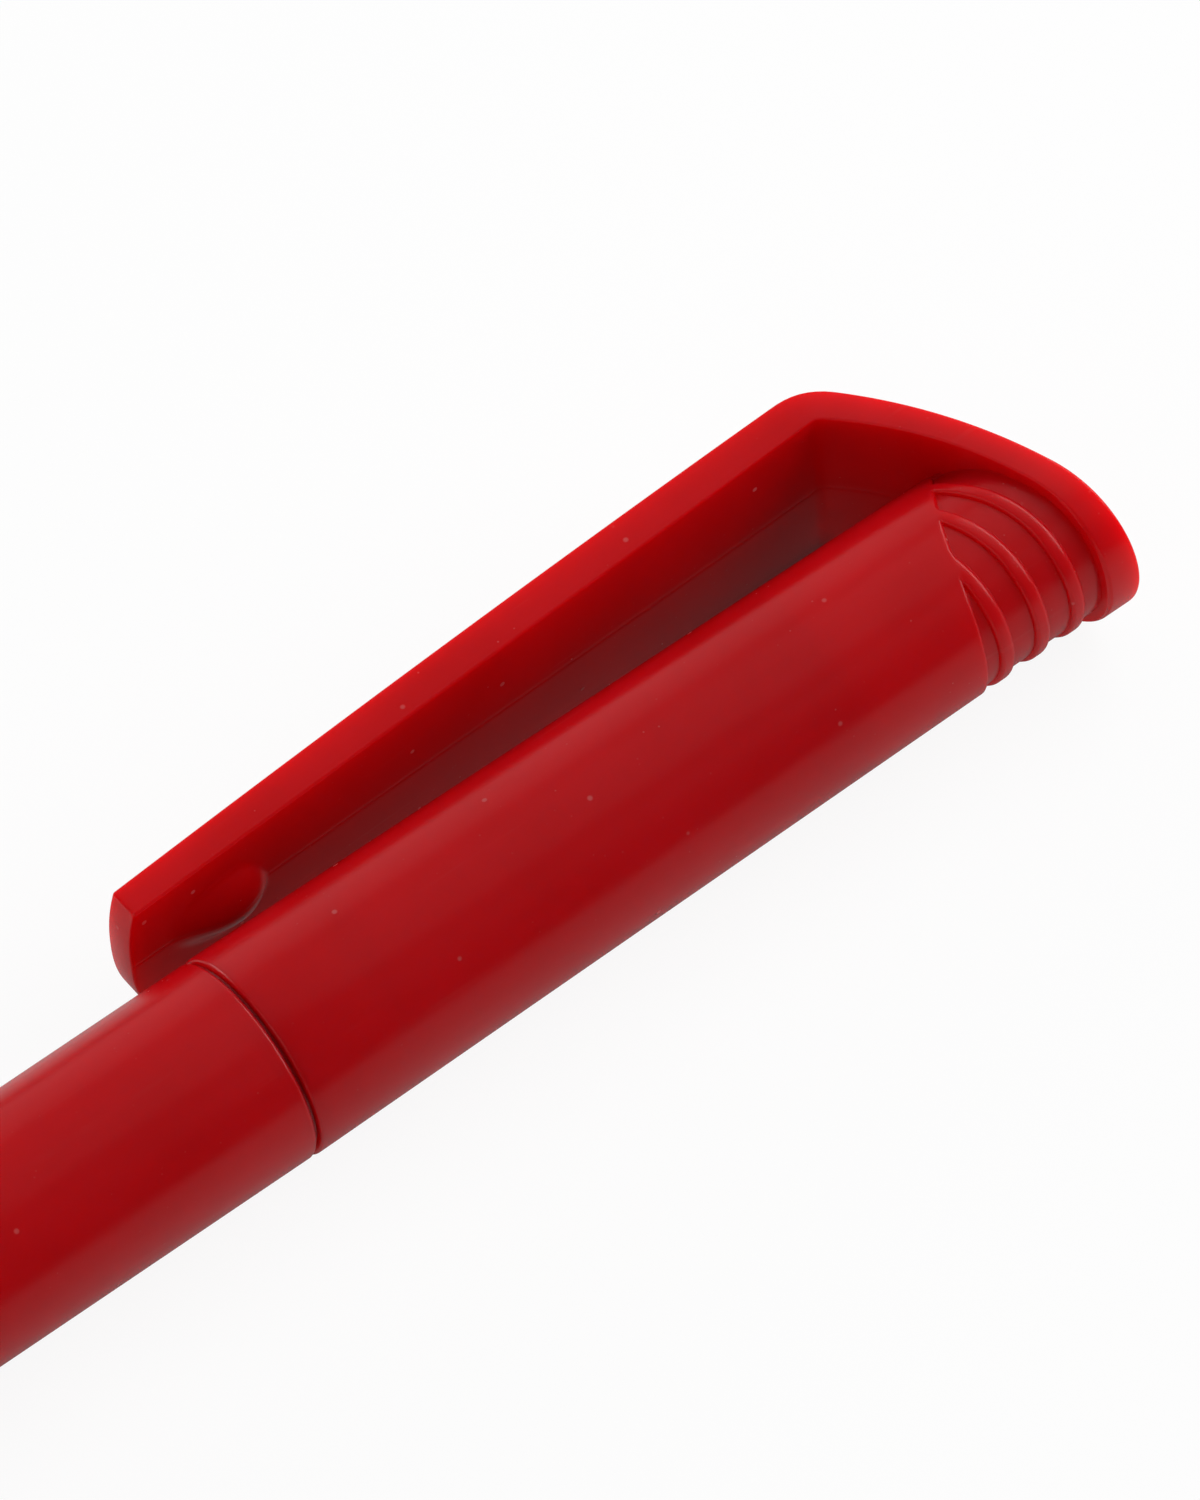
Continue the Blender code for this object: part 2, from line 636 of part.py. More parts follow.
def make_refill():
    """Tube, end plug, socket, writing tip, ball, ink and grease, back from the writing end."""
    front = REFILL_FRONT_X
    tube_low = front + SOCKET_END + FACE_GAP
    tube_high = REFILL_REAR_X - PLUG_HEAD_LENGTH
    tube_bore = REFILL_RADIUS - REFILL_WALL
    spigot = tube_bore - FIXED_FIT
    profile = [
        (tube_high, REFILL_RADIUS),
        (tube_low, REFILL_RADIUS),
        (tube_low, tube_bore),
        (tube_high, tube_bore),
    ]
    finish(turned("refill_tube", profile), clear)

    plug_low = tube_high - PLUG_SPIGOT_LENGTH
    profile = [
        (REFILL_REAR_X, PLUG_VENT_RADIUS),
        (REFILL_REAR_X, REFILL_RADIUS - REFILL_WALL),
        (REFILL_REAR_X - REFILL_WALL, REFILL_RADIUS),
        (tube_high + FACE_GAP, REFILL_RADIUS),
        (tube_high + FACE_GAP, spigot),
        (plug_low, spigot),
        (plug_low, PLUG_VENT_RADIUS),
    ]
    finish(turned("refill_plug", profile), white)

    shank_end = front + TIP_SHANK_END
    flange = front + SOCKET_END - SOCKET_FLANGE
    socket_top = tube_low + SOCKET_SPIGOT_LENGTH
    spigot_end = shank_end + TIP_SPIGOT_LENGTH
    hold = TIP_SPIGOT_RADIUS + FIXED_FIT
    profile = [
        (socket_top, spigot),
        (tube_low - FACE_GAP, spigot),
        (tube_low - FACE_GAP, REFILL_RADIUS),
        (flange, REFILL_RADIUS),
        (flange, SOCKET_RADIUS),
        (shank_end + FACE_GAP, SOCKET_RADIUS),
        (shank_end + FACE_GAP, hold),
        (spigot_end + FACE_GAP, hold),
        (spigot_end + FACE_GAP, SOCKET_INK_BORE),
        (socket_top, SOCKET_INK_BORE),
    ]
    finish(turned("tip_socket", profile), white)

    lip_x = front + BALL_SHOW
    seat = BALL_RADIUS + BALL_PLAY
    lip_angle = math.acos((BALL_RADIUS - BALL_SHOW) / seat)
    back_angle = math.pi - math.asin(TIP_INK_BORE / seat)
    ball_x = front + BALL_RADIUS
    count = ARC_STEPS // 2
    turns = [lip_angle + (back_angle - lip_angle) * i / count for i in range(count + 1)]
    cup = [(ball_x - seat * math.cos(t), seat * math.sin(t)) for t in turns]
    lip = cup[0][1] + TIP_LIP
    profile = [
        (spigot_end, TIP_SPIGOT_RADIUS),
        (shank_end, TIP_SPIGOT_RADIUS),
        (shank_end, TIP_RADIUS),
        (front + TIP_CONE_LENGTH, TIP_RADIUS),
        (lip_x, lip),
        *cup,
        (spigot_end, TIP_INK_BORE),
    ]
    finish(turned("writing_tip", profile), brass)

    cage = bmesh.new()
    bmesh.ops.create_uvsphere(cage, u_segments=20, v_segments=12, radius=BALL_RADIUS)
    mesh = bpy.data.meshes.new("ball")
    cage.to_mesh(mesh)
    cage.free()
    ball = finish(mesh_object("ball", mesh), steel)
    ball.location = (ball_x, 0.0, 0.0)

    grease_high = plug_low - AIR_LENGTH
    grease_low = grease_high - GREASE_LENGTH
    for name, low, high, surface in (
        ("ink_column", socket_top + FACE_GAP, grease_low - FACE_GAP, blue),
        ("grease_plug", grease_low, grease_high, clear),
    ):
        profile = [(high, 0.0), (high, spigot), (low, spigot), (low, 0.0)]
        finish(turned(name, profile, ROUND_STEPS // 2), surface)


def make_return_spring():
    """One unbroken open coil from the nose seat to the refill's flange."""
    low = NOSE_TIP_X + SPRING_SEAT_DEPTH + FACE_GAP + SPRING_WIRE_RADIUS
    high = REFILL_FRONT_X + SOCKET_END - SOCKET_FLANGE - FACE_GAP - SPRING_WIRE_RADIUS
    count = SPRING_TURNS * SPRING_POINTS_PER_TURN
    points = []
    for i in range(count + 1):
        angle = math.tau * i / SPRING_POINTS_PER_TURN
        share = i / count
        x = low + (high - low) * share
        points.append((x, SPRING_RADIUS * math.cos(angle), SPRING_RADIUS * math.sin(angle)))
    pitch = (high - low) / SPRING_TURNS
    print(f"return_spring: least gap to itself {(pitch - 2 * SPRING_WIRE_RADIUS) / MM:.2f} mm")
    curve = bpy.data.curves.new("return_spring", "CURVE")
    curve.dimensions = "3D"
    curve.bevel_depth = SPRING_WIRE_RADIUS
    curve.bevel_resolution = 1
    curve.use_fill_caps = True
    spline = curve.splines.new("POLY")
    spline.points.add(len(points) - 1)
    for point, place in zip(spline.points, points):
        point.co = (*place, 1.0)
    wire = bpy.data.objects.new("return_spring_wire", curve)
    bpy.context.scene.collection.objects.link(wire)
    mesh = cleaned(evaluated_mesh(wire))
    bpy.data.objects.remove(wire, do_unlink=True)
    return finish(mesh_object("return_spring", mesh), steel)


clear_scene()
parts = new_collection("twist_pen")
cutters = new_collection("cutters")
axis = bpy.data.objects.new("pen_axis", None)
axis.location = (AXIS_X, AXIS_Y, AXIS_Z)
parts.objects.link(axis)

red = material("red_plastic", (0.42, 0.008, 0.012), 0.32)
white = material("natural_acetal", (0.78, 0.77, 0.72), 0.45)
black = material("black_acetal", (0.02, 0.02, 0.022), 0.45)
clear = material("refill_plastic", (0.72, 0.75, 0.76), 0.3)
brass = material("brass", (0.72, 0.5, 0.2), 0.25, 1.0)
steel = material("steel", (0.55, 0.56, 0.58), 0.25, 1.0)
blue = material("blue_ink", (0.01, 0.02, 0.2), 0.2)

make_upper_barrel()
make_lower_barrel()
make_nose_cone()
make_guide_sleeve()
make_cam_sleeve()
make_plunger()
make_refill()
make_return_spring()
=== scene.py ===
"""Twist-action ballpoint pen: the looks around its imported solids.

The shapes are worked out in the pen's own frame, in metres: X runs from the seam between the barrels
towards the hood, Y towards the clip and Z up, all measured from the pen's axis.
"""

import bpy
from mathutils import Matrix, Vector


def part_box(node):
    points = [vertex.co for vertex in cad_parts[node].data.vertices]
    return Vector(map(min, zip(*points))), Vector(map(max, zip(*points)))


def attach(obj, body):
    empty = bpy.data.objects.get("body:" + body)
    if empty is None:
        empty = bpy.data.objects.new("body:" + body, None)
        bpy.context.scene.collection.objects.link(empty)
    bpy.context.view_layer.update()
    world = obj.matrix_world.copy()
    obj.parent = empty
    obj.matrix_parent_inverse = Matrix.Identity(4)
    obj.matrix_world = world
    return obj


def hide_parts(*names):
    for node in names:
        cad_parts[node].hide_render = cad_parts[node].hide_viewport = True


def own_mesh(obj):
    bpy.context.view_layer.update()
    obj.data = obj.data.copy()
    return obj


bl_info = {
    "name": "Twist pen",
    "version": (1, 0, 0),
    "blender": (4, 5, 0),
    "location": "View3D > Sidebar > Pen",
    "description": "Models a twist-action ballpoint pen with a moulded clip and a ribbed hood",
    "category": "Object",
}

import math

import bmesh
import bpy
from mathutils import Vector

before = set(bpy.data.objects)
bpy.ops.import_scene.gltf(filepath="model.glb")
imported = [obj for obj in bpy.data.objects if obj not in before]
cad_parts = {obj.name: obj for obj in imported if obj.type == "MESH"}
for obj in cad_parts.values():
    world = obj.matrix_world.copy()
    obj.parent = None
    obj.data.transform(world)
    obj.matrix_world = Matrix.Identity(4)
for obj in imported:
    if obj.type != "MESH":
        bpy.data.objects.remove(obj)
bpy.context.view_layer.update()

MM = 0.001
SEAM_GAP = 0.3 * MM
WELD = 1e-7
LEAST_TURN = WELD / MM
QUARTER = math.pi / 2

UPPER_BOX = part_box("upper_barrel")
LOWER_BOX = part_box("lower_barrel")
NOSE_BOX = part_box("nose_cone")
SPRING_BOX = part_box("return_spring")
TIP_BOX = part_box("writing_tip")
BALL_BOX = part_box("ball")

LOWER_MIDDLE = (LOWER_BOX[0] + LOWER_BOX[1]) / 2
AXIS = Vector((LOWER_BOX[1].x + SEAM_GAP / 2, LOWER_MIDDLE.y, LOWER_MIDDLE.z))


def length(name, description, default):
    """A size in metres that a user can change."""
    return bpy.props.FloatProperty(
        name=name, description=description, default=default, unit="LENGTH", precision=5
    )


def colour(name, description, default):
    """A colour that a user can change."""
    return bpy.props.FloatVectorProperty(
        name=name, description=description, default=default, subtype="COLOR", min=0.0, max=1.0
    )


def number(name, description, default):
    """A plain number that a user can change."""
    return bpy.props.FloatProperty(name=name, description=description, default=default)


class BarrelShape(bpy.types.PropertyGroup):
    radius: length("Radius", "Upper barrel at the seam", (UPPER_BOX[1].z - UPPER_BOX[0].z) / 2)
    taper: length("Taper", "How much thinner the upper barrel is below the hood", 0.42 * MM)
    wall: length("Wall", "Thickness of the upper barrel at the seam", 1.1 * MM)
    bore_depth: length("Bore depth", "How far the bore goes up from the seam", 39.6 * MM)
    bore_end: length("Bore end", "Radius of the upper end of the bore", 3.76 * MM)
    bore_step: length("Bore step", "Where the bore gets narrower", 33.5 * MM)
    snap_place: length("Snap groove", "Middle of the snap groove, from the seam", 6.0 * MM)
    snap_half: length("Snap half width", "Half the width of that groove's floor", 0.5 * MM)
    snap_depth: length("Snap depth", "Depth of that groove, and reach of its slopes", 0.2 * MM)
    seam_edge: length("Seam edge", "Rounding of the upper barrel at the seam", 0.16 * MM)
    seam_lip: length("Seam lip", "How far the upper barrel reaches into the seam", 0.1 * MM)
    tongue: length("Tongue", "Height of the lower barrel's tongue in the seam", 0.14 * MM)
    tongue_inset: length("Tongue inset", "How far the tongue lies below the lower barrel", 0.26 * MM)
    lower_radius: length("Lower radius", "Lower barrel at the seam", LOWER_BOX[1].z - AXIS.z)
    lower_edge: length("Lower edge", "Rounding of the lower barrel at the seam", 0.24 * MM)
    lower_straight: length("Straight part", "Lower barrel before it gets thinner", 46.0 * MM)
    lower_slight_taper: length("Slight taper", "Taper along the straight part", 0.05 * MM)
    lower_end_taper: length("End taper", "Taper from there to the nose cone", 0.42 * MM)
    lower_bore: length("Lower bore", "Radius of the lower bore", 3.89 * MM)
    mouth_radius: length("Mouth radius", "Seat of the guide sleeve", 4.3 * MM)
    mouth_depth: length("Mouth depth", "Depth of that seat", 12.1 * MM)


class ClipShape(bpy.types.PropertyGroup):
    overhang: length("Overhang", "How far the tip's corners pass the seam", 0.79 * MM)
    end_bulge: length("End bulge", "How far the tip bows out in its middle", 0.53 * MM)
    end_power: number("End power", "Shape of the tip's bow, where 2 is an even curve", 2.4)
    gap: length("Gap", "From the barrel to the underside at the tip", 2.3 * MM)
    rise: length("Rise", "How much the underside rises to the root", 1.0 * MM)
    tip_thickness: length("Tip thickness", "Thickness at the tip", 1.56 * MM)
    root_thickness: length("Root thickness", "Thickness at the root", 1.95 * MM)
    bow: length("Bow", "Crown of the outer side along its length", 0.23 * MM)
    tip_half_width: length("Half width", "Half the width at the tip", 3.85 * MM)
    draft: length("Draft", "How much thicker the middle is than the edges", 0.2 * MM)
    inner_edge: length("Inner edge", "Rounding of the inner edges", 0.1 * MM)
    outer_edge: length("Outer edge", "Rounding of the outer edges", 0.12 * MM)
    tip_edge: length("Tip edge", "Rounding round the tip's end face", 0.16 * MM)
    bead_top: length("Bead top", "Highest point of the bead, from the seam", 4.6 * MM)
    bead_front: length("Bead front", "Reach of the bead towards the tip", 3.5 * MM)
    bead_back: length("Bead back", "Reach of the bead towards the hood", 2.1 * MM)
    bead_half_width: length("Bead half width", "Half the width of the bead", 2.2 * MM)
    bead_height: length("Bead height", "Height of the bead", 0.95 * MM)


class HoodShape(bpy.types.PropertyGroup):
    corner: length("Corner", "Inner corner, from the seam", 41.1 * MM)
    end: length("End", "Lowest outer point, from the seam", UPPER_BOX[1].x - AXIS.x)
    thickness: length("Thickness", "Thickness at the lower end", 1.77 * MM)
    inner_radius: length("Inner radius", "Radius of the inner side", 20.8 * MM)
    outer_radius: length("Outer radius", "Radius of the outer side", 26.9 * MM)
    corner_radius: length("Corner radius", "Rounding of the outer corner", 3.8 * MM)
    inner_fillet: length("Inner fillet", "Length of the soft bend in the inner corner", 0.2 * MM)
    outer_offset: length("Outer offset", "Outer corner past the inner one", 0.5 * MM)
    foot: length("Foot", "Lowest point of the hood, below the axis", 5.3 * MM)
    foot_shift: number("Foot shift", "Lean of the lower end along the pen, per metre down", 0.042)


class RibShape(bpy.types.PropertyGroup):
    count: bpy.props.IntProperty(name="Count", description="Number of crests", default=3)
    pitch: length("Pitch", "From one crest to the next", 2.18 * MM)
    first: length("First", "From the hood to the first crest", 1.07 * MM)
    width: length("Width", "Width of a crest", 0.87 * MM)
    front_edge: length("Front edge", "Rounding of a crest towards the tip", 0.2 * MM)
    back_edge: length("Back edge", "Rounding of a crest towards the hood", 0.3 * MM)
    depth: length("Depth", "Depth of the floor below the barrel", 0.24 * MM)
    border: length("Border", "Rounding of the field's edge", 0.2 * MM)
    field_radius: length("Field radius", "Radius of the field's edge in side view", 22.2 * MM)
    field_centre: length("Field centre", "Centre of that edge, from the seam", 62.27 * MM)
    field_drop: length("Field drop", "Centre of that edge below the axis", 8.65 * MM)
    lean: number("Lean", "How much more the crests lean than the hood above the axis", 0.13)


class NoseShape(bpy.types.PropertyGroup):
    tip_radius: length("Tip radius", "Outer radius at the front", 1.75 * MM)
    swell: length("Swell", "Crown of the cone along its length", 0.55 * MM)
    lip: length("Lip", "Rounding of the front lip", 0.3 * MM)
    hole: length("Hole", "Radius of the hole for the writing tip", 1.35 * MM)
    joint_gap: length("Joint gap", "Gap to the lower barrel", 0.1 * MM)
    joint_edge: length("Joint edge", "Rounding of both edges at the joint", 0.12 * MM)
    seat_depth: length("Seat depth", "Spring seat behind the front", 5.5 * MM)
    chamber: length("Chamber", "Radius of the spring chamber", 2.6 * MM)
    chamber_length: length("Chamber length", "Length of the spring chamber", 12.5 * MM)
    passage: length("Passage", "Radius of the refill's passage", 3.12 * MM)
    spigot: length("Spigot", "Radius of the spigot in the lower barrel", 3.83 * MM)


class RefillShape(bpy.types.PropertyGroup):
    tip_cone: length("Tip cone", "Length of the writing tip's cone", 4.2 * MM)
    tip_radius: length("Tip radius", "Radius of the writing tip", TIP_BOX[1].z - AXIS.z)
    tip_collar: length("Tip collar", "Depth of the turned grooves", 0.05 * MM)
    tip_shank: length("Tip shank", "Ball to shoulder", 11.0 * MM)
    spigot_radius: length("Spigot radius", "Radius of the tip's spigot", 0.85 * MM)
    ink_bore: length("Ink bore", "Radius of the ink channel", 0.3 * MM)
    lip_width: length("Lip width", "Wall of the seat round the ball", 0.1 * MM)
    ball_play: length("Ball play", "Room round the ball", 0.03 * MM)
    wire: length("Wire", "Radius of the spring's wire", 0.2 * MM)
    turns: bpy.props.IntProperty(name="Turns", description="Open turns of the spring", default=8)
    feed: length("Feed", "How far the refill goes forward", 5.0 * MM)


class PenFinish(bpy.types.PropertyGroup):
    red: colour("Red plastic", "Moulded barrels, clip and nose cone", (0.54, 0.0021, 0.0056))
    deep_red: colour("Deep red", "Darker cloudy parts of the plastic", (0.5, 0.0015, 0.0042))
    dust: colour("Dust", "Fine dust and rubbed spots", (0.55, 0.2, 0.19))
    natural: colour("Natural acetal", "Guide sleeve, plunger and refill ends", (0.78, 0.77, 0.72))
    black: colour("Black acetal", "Cam sleeve", (0.02, 0.02, 0.022))
    clear: colour("Refill plastic", "Refill tube and grease", (0.72, 0.75, 0.76))
    brass: colour("Brass", "Writing tip", (0.72, 0.5, 0.2))
    steel: colour("Steel", "Spring and ball", (0.55, 0.56, 0.58))
    ink: colour("Ink", "Ink column", (0.01, 0.02, 0.2))


class StageSetting(bpy.types.PropertyGroup):
    camera_place: bpy.props.FloatVectorProperty(
        name="Camera", description="Place of the camera", subtype="TRANSLATION", unit="LENGTH",
        default=tuple(AXIS + Vector((-0.18265, -0.306945, 0.55782))),
    )
    camera_turn: bpy.props.FloatVectorProperty(
        name="Camera turn", description="Turn of the camera", subtype="EULER", unit="ROTATION",
        default=(math.radians(33.634), math.radians(2.737), math.radians(-37.696)),
    )
    lens: number("Lens", "Focal length of the camera in millimetres", 336.7)
    floor: colour("Floor", "Colour of the floor", (0.85, 0.85, 0.85))
    floor_white: number("White share", "How much of the floor is plain white to the camera", 0.89)
    floor_size: length("Floor size", "Side of the floor", 16.0)
    air: number("Room light", "Strength of the light from all round", 0.1)


def at(x, y, z):
    """A point of the pen's own frame in the world."""
    return AXIS + Vector((x, y, z))


def arc_between(start, end, radius, steps):
    """Points on the arc from start to end that bulges to the left of the way from start to end."""
    centre, turn, sweep = arc_centre(start, end, radius)
    turns = [turn + sweep * i / steps for i in range(steps + 1)]
    return [(centre[0] + radius * math.cos(t), centre[1] + radius * math.sin(t)) for t in turns]


def arc_centre(start, end, radius):
    """Centre, first turn and sweep of that arc."""
    (x0, y0), (x1, y1) = start, end
    half = math.hypot(x1 - x0, y1 - y0) / 2
    height = math.sqrt(radius**2 - half**2)
    centre_x = (x0 + x1) / 2 + (y1 - y0) / (2 * half) * height
    centre_y = (y0 + y1) / 2 - (x1 - x0) / (2 * half) * height
    turn = math.atan2(y0 - centre_y, x0 - centre_x)
    return (centre_x, centre_y), turn, -2 * math.asin(half / radius)


def smooth(value, low, high):
    """0 below low, 1 above high, with a soft rise between."""
    share = min(max((value - low) / (high - low), 0.0), 1.0)
    return share * share * (3 - 2 * share)


def spaced(path, count):
    """Points at even steps along a path."""
    reach = [0.0]
    for (x0, y0), (x1, y1) in zip(path, path[1:]):
        reach.append(reach[-1] + math.hypot(x1 - x0, y1 - y0))
    points = []
    piece = 0
    for i in range(count + 1):
        want = reach[-1] * i / count
        while piece < len(path) - 2 and reach[piece + 1] < want:
            piece += 1
        share = (want - reach[piece]) / (reach[piece + 1] - reach[piece])
        (x0, y0), (x1, y1) = path[piece], path[piece + 1]
        points.append((x0 + (x1 - x0) * share, y0 + (y1 - y0) * share))
    return points


def quarter_turns(steps):
    """Even steps through a right angle."""
    return [QUARTER * i / steps for i in range(steps + 1)]


def rounding(x, radius, edge, steps, along):
    """Points (x, radius) round an outer corner, from the side that faces along X to the outside."""
    return [
        (x - along * edge * (1 - math.cos(t)), radius - edge * (1 - math.sin(t)))
        for t in quarter_turns(steps)
    ]


def clear_selection():
    active = bpy.context.view_layer.objects.active
    if active and active.mode != "OBJECT":
        bpy.ops.object.mode_set(mode="OBJECT")
    bpy.ops.object.select_all(action="DESELECT")


def named(name):
    piece = bpy.context.object
    piece.name = name
    piece.data.name = name
    return piece


def start_ring(name, points):
    """A circle of as many points as asked for, in edit mode, with each point put in its place."""
    clear_selection()
    bpy.ops.mesh.primitive_circle_add(vertices=len(points), radius=MM, location=(0, 0, 0))
    piece = named(name)
    bpy.ops.object.mode_set(mode="EDIT")
    cage = bmesh.from_edit_mesh(piece.data)
    order = cage.verts.layers.int.new("around")
    cage.verts.ensure_lookup_table()
    for index, vert in enumerate(cage.verts):
        vert[order] = index
    place_ring(piece, points)
    return piece


def place_ring(piece, points):
    """Puts the selected ring's points where they belong."""
    cage = bmesh.from_edit_mesh(piece.data)
    order = cage.verts.layers.int["around"]
    for vert in cage.verts:
        if vert.select:
            vert.co = points[vert[order]]
    bmesh.update_edit_mesh(piece.data)


def ring_stack(name, rings, capped):
    """Extrudes a ring from place to place, closes its ends and turns its faces outwards."""
    piece = start_ring(name, rings[0])
    if capped:
        bpy.ops.mesh.edge_face_add()
        bpy.ops.mesh.select_all(action="SELECT")
    for points in rings[1:]:
        bpy.ops.mesh.extrude_region_move()
        place_ring(piece, points)
    return close_mesh(piece)


def close_mesh(piece):
    bpy.ops.mesh.select_all(action="SELECT")
    bpy.ops.mesh.remove_doubles(threshold=WELD)
    bpy.ops.mesh.normals_make_consistent(inside=False)
    bpy.ops.object.mode_set(mode="OBJECT")
    layer = piece.data.attributes.get("around")
    if layer:
        piece.data.attributes.remove(layer)
    return piece


def turned(name, profile, steps):
    """Draws a profile of (x, radius) points beside the axis and spins it into a solid."""
    clear_selection()
    bpy.ops.mesh.primitive_plane_add(size=MM, location=(0, 0, 0))
    piece = named(name)
    bpy.ops.object.mode_set(mode="EDIT")
    bpy.ops.mesh.merge(type="CENTER")
    places = [at(x, radius, 0.0) for x, radius in profile]
    bpy.ops.transform.translate(value=places[0])
    for before, after in zip(places, places[1:]):
        bpy.ops.mesh.extrude_vertices_move(TRANSFORM_OT_translate={"value": after - before})
    if profile[0][1] > 0:
        cage = bmesh.from_edit_mesh(piece.data)
        cage.verts.ensure_lookup_table()
        for vert in cage.verts:
            vert.select = len(vert.link_edges) == 1
        cage.select_flush_mode()
        bpy.ops.mesh.edge_face_add()
    bpy.ops.mesh.select_all(action="SELECT")
    bpy.ops.mesh.spin(steps=steps, angle=math.tau, center=AXIS, axis=(1, 0, 0))
    return close_mesh(piece)


def soften(piece, degrees):
    clear_selection()
    piece.select_set(True)
    bpy.context.view_layer.objects.active = piece
    bpy.ops.object.shade_smooth_by_angle(angle=math.radians(degrees))


def join_solid(piece, other):
    """Makes one solid of two and removes the second."""
    clear_selection()
    piece.select_set(True)
    bpy.context.view_layer.objects.active = piece
    bpy.ops.object.modifier_add(type="BOOLEAN")
    union = piece.modifiers[-1]
    union.operation = "UNION"
    union.solver = "EXACT"
    union.object = other
    bpy.ops.object.modifier_apply(modifier=union.name)
    bpy.data.objects.remove(other, do_unlink=True)


def finished(piece, surface, slot, body, *nodes):
    """Gives a piece its finish, puts it on its body and lets it stand for its solids."""
    piece.data.materials.clear()
    piece.data.materials.append(surface)
    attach(piece, body)
    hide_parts(*nodes)
    return piece


class HoodSides:
    """The hood's inner and outer sides in side view."""

    def __init__(self, clip, hood, barrel):
        self.foot = -barrel.radius
        self.under_root = barrel.radius + clip.gap + clip.rise
        self.top_root = self.under_root + clip.root_thickness
        self.inner_start = (hood.corner, self.under_root)
        self.outer_start = (hood.corner + hood.outer_offset, self.top_root)
        self.inner_end = (hood.end - hood.thickness, self.foot)
        self.outer_end = (hood.end, self.foot)
        self.inner_radius = hood.inner_radius
        self.outer_radius = hood.outer_radius
        self.inner_centre = arc_centre(self.inner_start, self.inner_end, self.inner_radius)[0]
        self.outer_centre = arc_centre(self.outer_start, self.outer_end, self.outer_radius)[0]

    def inner_x(self, y):
        across = y - self.inner_centre[1]
        return self.inner_centre[0] + math.sqrt(self.inner_radius**2 - across**2)

    def outer_x(self, y):
        across = y - self.outer_centre[1]
        return self.outer_centre[0] + math.sqrt(self.outer_radius**2 - across**2)


FACE_STEPS = 14
FLANK_SHARE = 0.985
NOTCH_SHARE = 0.008
NOTCH_DEPTH = 0.008 * MM
EDGE_STEPS = 4
EDGE_ROOM = 0.9
SUPPORT = 0.06 * MM
BEAD_SOFTNESS = 1.7


def face_shares():
    """Places across the band's faces, from the lower flank to the upper one."""
    even = [i / FACE_STEPS for i in range(-FACE_STEPS, FACE_STEPS + 1)]
    shares = [share for share in even if abs(share) > NOTCH_SHARE]
    return sorted(shares + [-FLANK_SHARE, -NOTCH_SHARE, 0.0, NOTCH_SHARE, FLANK_SHARE])


def bead_at(clip, x, z):
    """Height of the bead under the clip, which starts more softly at the tip's side."""
    reach = clip.bead_front if x < clip.bead_top else clip.bead_back
    inside = 1 - ((x - clip.bead_top) / reach) ** 2 - (z / clip.bead_half_width) ** 2
    backwards = smooth(x, clip.bead_top - clip.bead_front, clip.bead_top + clip.bead_back)
    return clip.bead_height * max(inside, 0.0) ** (BEAD_SOFTNESS - backwards)


def band_spots(clip, thick, half):
    """Height, inset from the flank, share across and whether it is inside, all round one section."""
    shares = face_shares()
    room = EDGE_ROOM * min(half, thick / 3)
    inner = min(clip.inner_edge, room)
    outer = min(clip.outer_edge, room)
    turns = quarter_turns(EDGE_STEPS)
    corner = [(inner * (1 - math.cos(t)), inner * (1 - math.sin(t))) for t in turns[1:]]
    support = min(SUPPORT, thick / 10)
    corner += [(inner + support, 0.0), (thick - outer - support, 0.0)]
    corner += [(thick - outer * (1 - math.sin(t)), outer * (1 - math.cos(t))) for t in turns[:-1]]
    spots = [(0.0, inner, share, True) for share in shares]
    spots += [(height, inset, 1.0, False) for height, inset in corner]
    spots += [(thick, outer, share, False) for share in reversed(shares)]
    spots += [(height, inset, -1.0, False) for height, inset in reversed(corner)]
    return spots


def drafted(clip, height, share, z, barrel_radius):
    """Height of the band's inner side, with the mould's draft and a hairline groove along its middle."""
    return height - clip.draft * (1 - abs(z) / barrel_radius) + NOTCH_DEPTH * (share == 0.0)


def band_section(clip, inner, outer, half, bulge, shrink, barrel_radius):
    """One loop round the straight-sided part of the band, between a point inside and one outside."""
    (xi, yi), (xo, yo) = inner, outer
    thick = math.hypot(xo - xi, yo - yi)
    way_x, way_y = (xo - xi) / thick, (yo - yi) / thick
    xi, yi = xi + way_x * shrink, yi + way_y * shrink
    thick -= 2 * shrink
    half -= shrink
    ring = []
    for height, inset, share, inside in band_spots(clip, thick, half):
        z = (half - inset) * share
        if inside:
            height = drafted(clip, height, share, z, barrel_radius) - bead_at(clip, xi, z)
        x = xi + way_x * height - bulge * (1 - abs(z / half) ** clip.end_power)
        ring.append(at(x, yi + way_y * height, z))
    return ring


def rim_section(clip, hood, sides, turn, barrel_radius):
    """One loop round the hood's round lower end. The turn goes from its flanks to its lowest point."""
    y = -hood.foot * math.sin(turn)
    thick = sides.outer_x(y) - sides.inner_x(y)
    ring = []
    for height, inset, share, inside in band_spots(clip, thick, barrel_radius):
        y = -(hood.foot - inset) * math.sin(turn)
        z = (barrel_radius - inset) * math.cos(turn) * share
        if inside:
            height = drafted(clip, height, share, z, barrel_radius)
        inner_x = sides.inner_x(y)
        x = inner_x + (sides.outer_x(y) - inner_x) * height / thick
        ring.append(at(x - hood.foot_shift * y, y, z))
    return ring


CLIP_STEPS = 26
BEAD_STEPS = 44
CORNER_STEPS = 44
RIM_STEPS = 30
ARC_STEPS = 24
FINE_STEPS = 8 * ARC_STEPS
CORNER_FROM = 5.0 * MM
CORNER_HALF_TURN = math.radians(22.5)
TIP_STEPS = 4


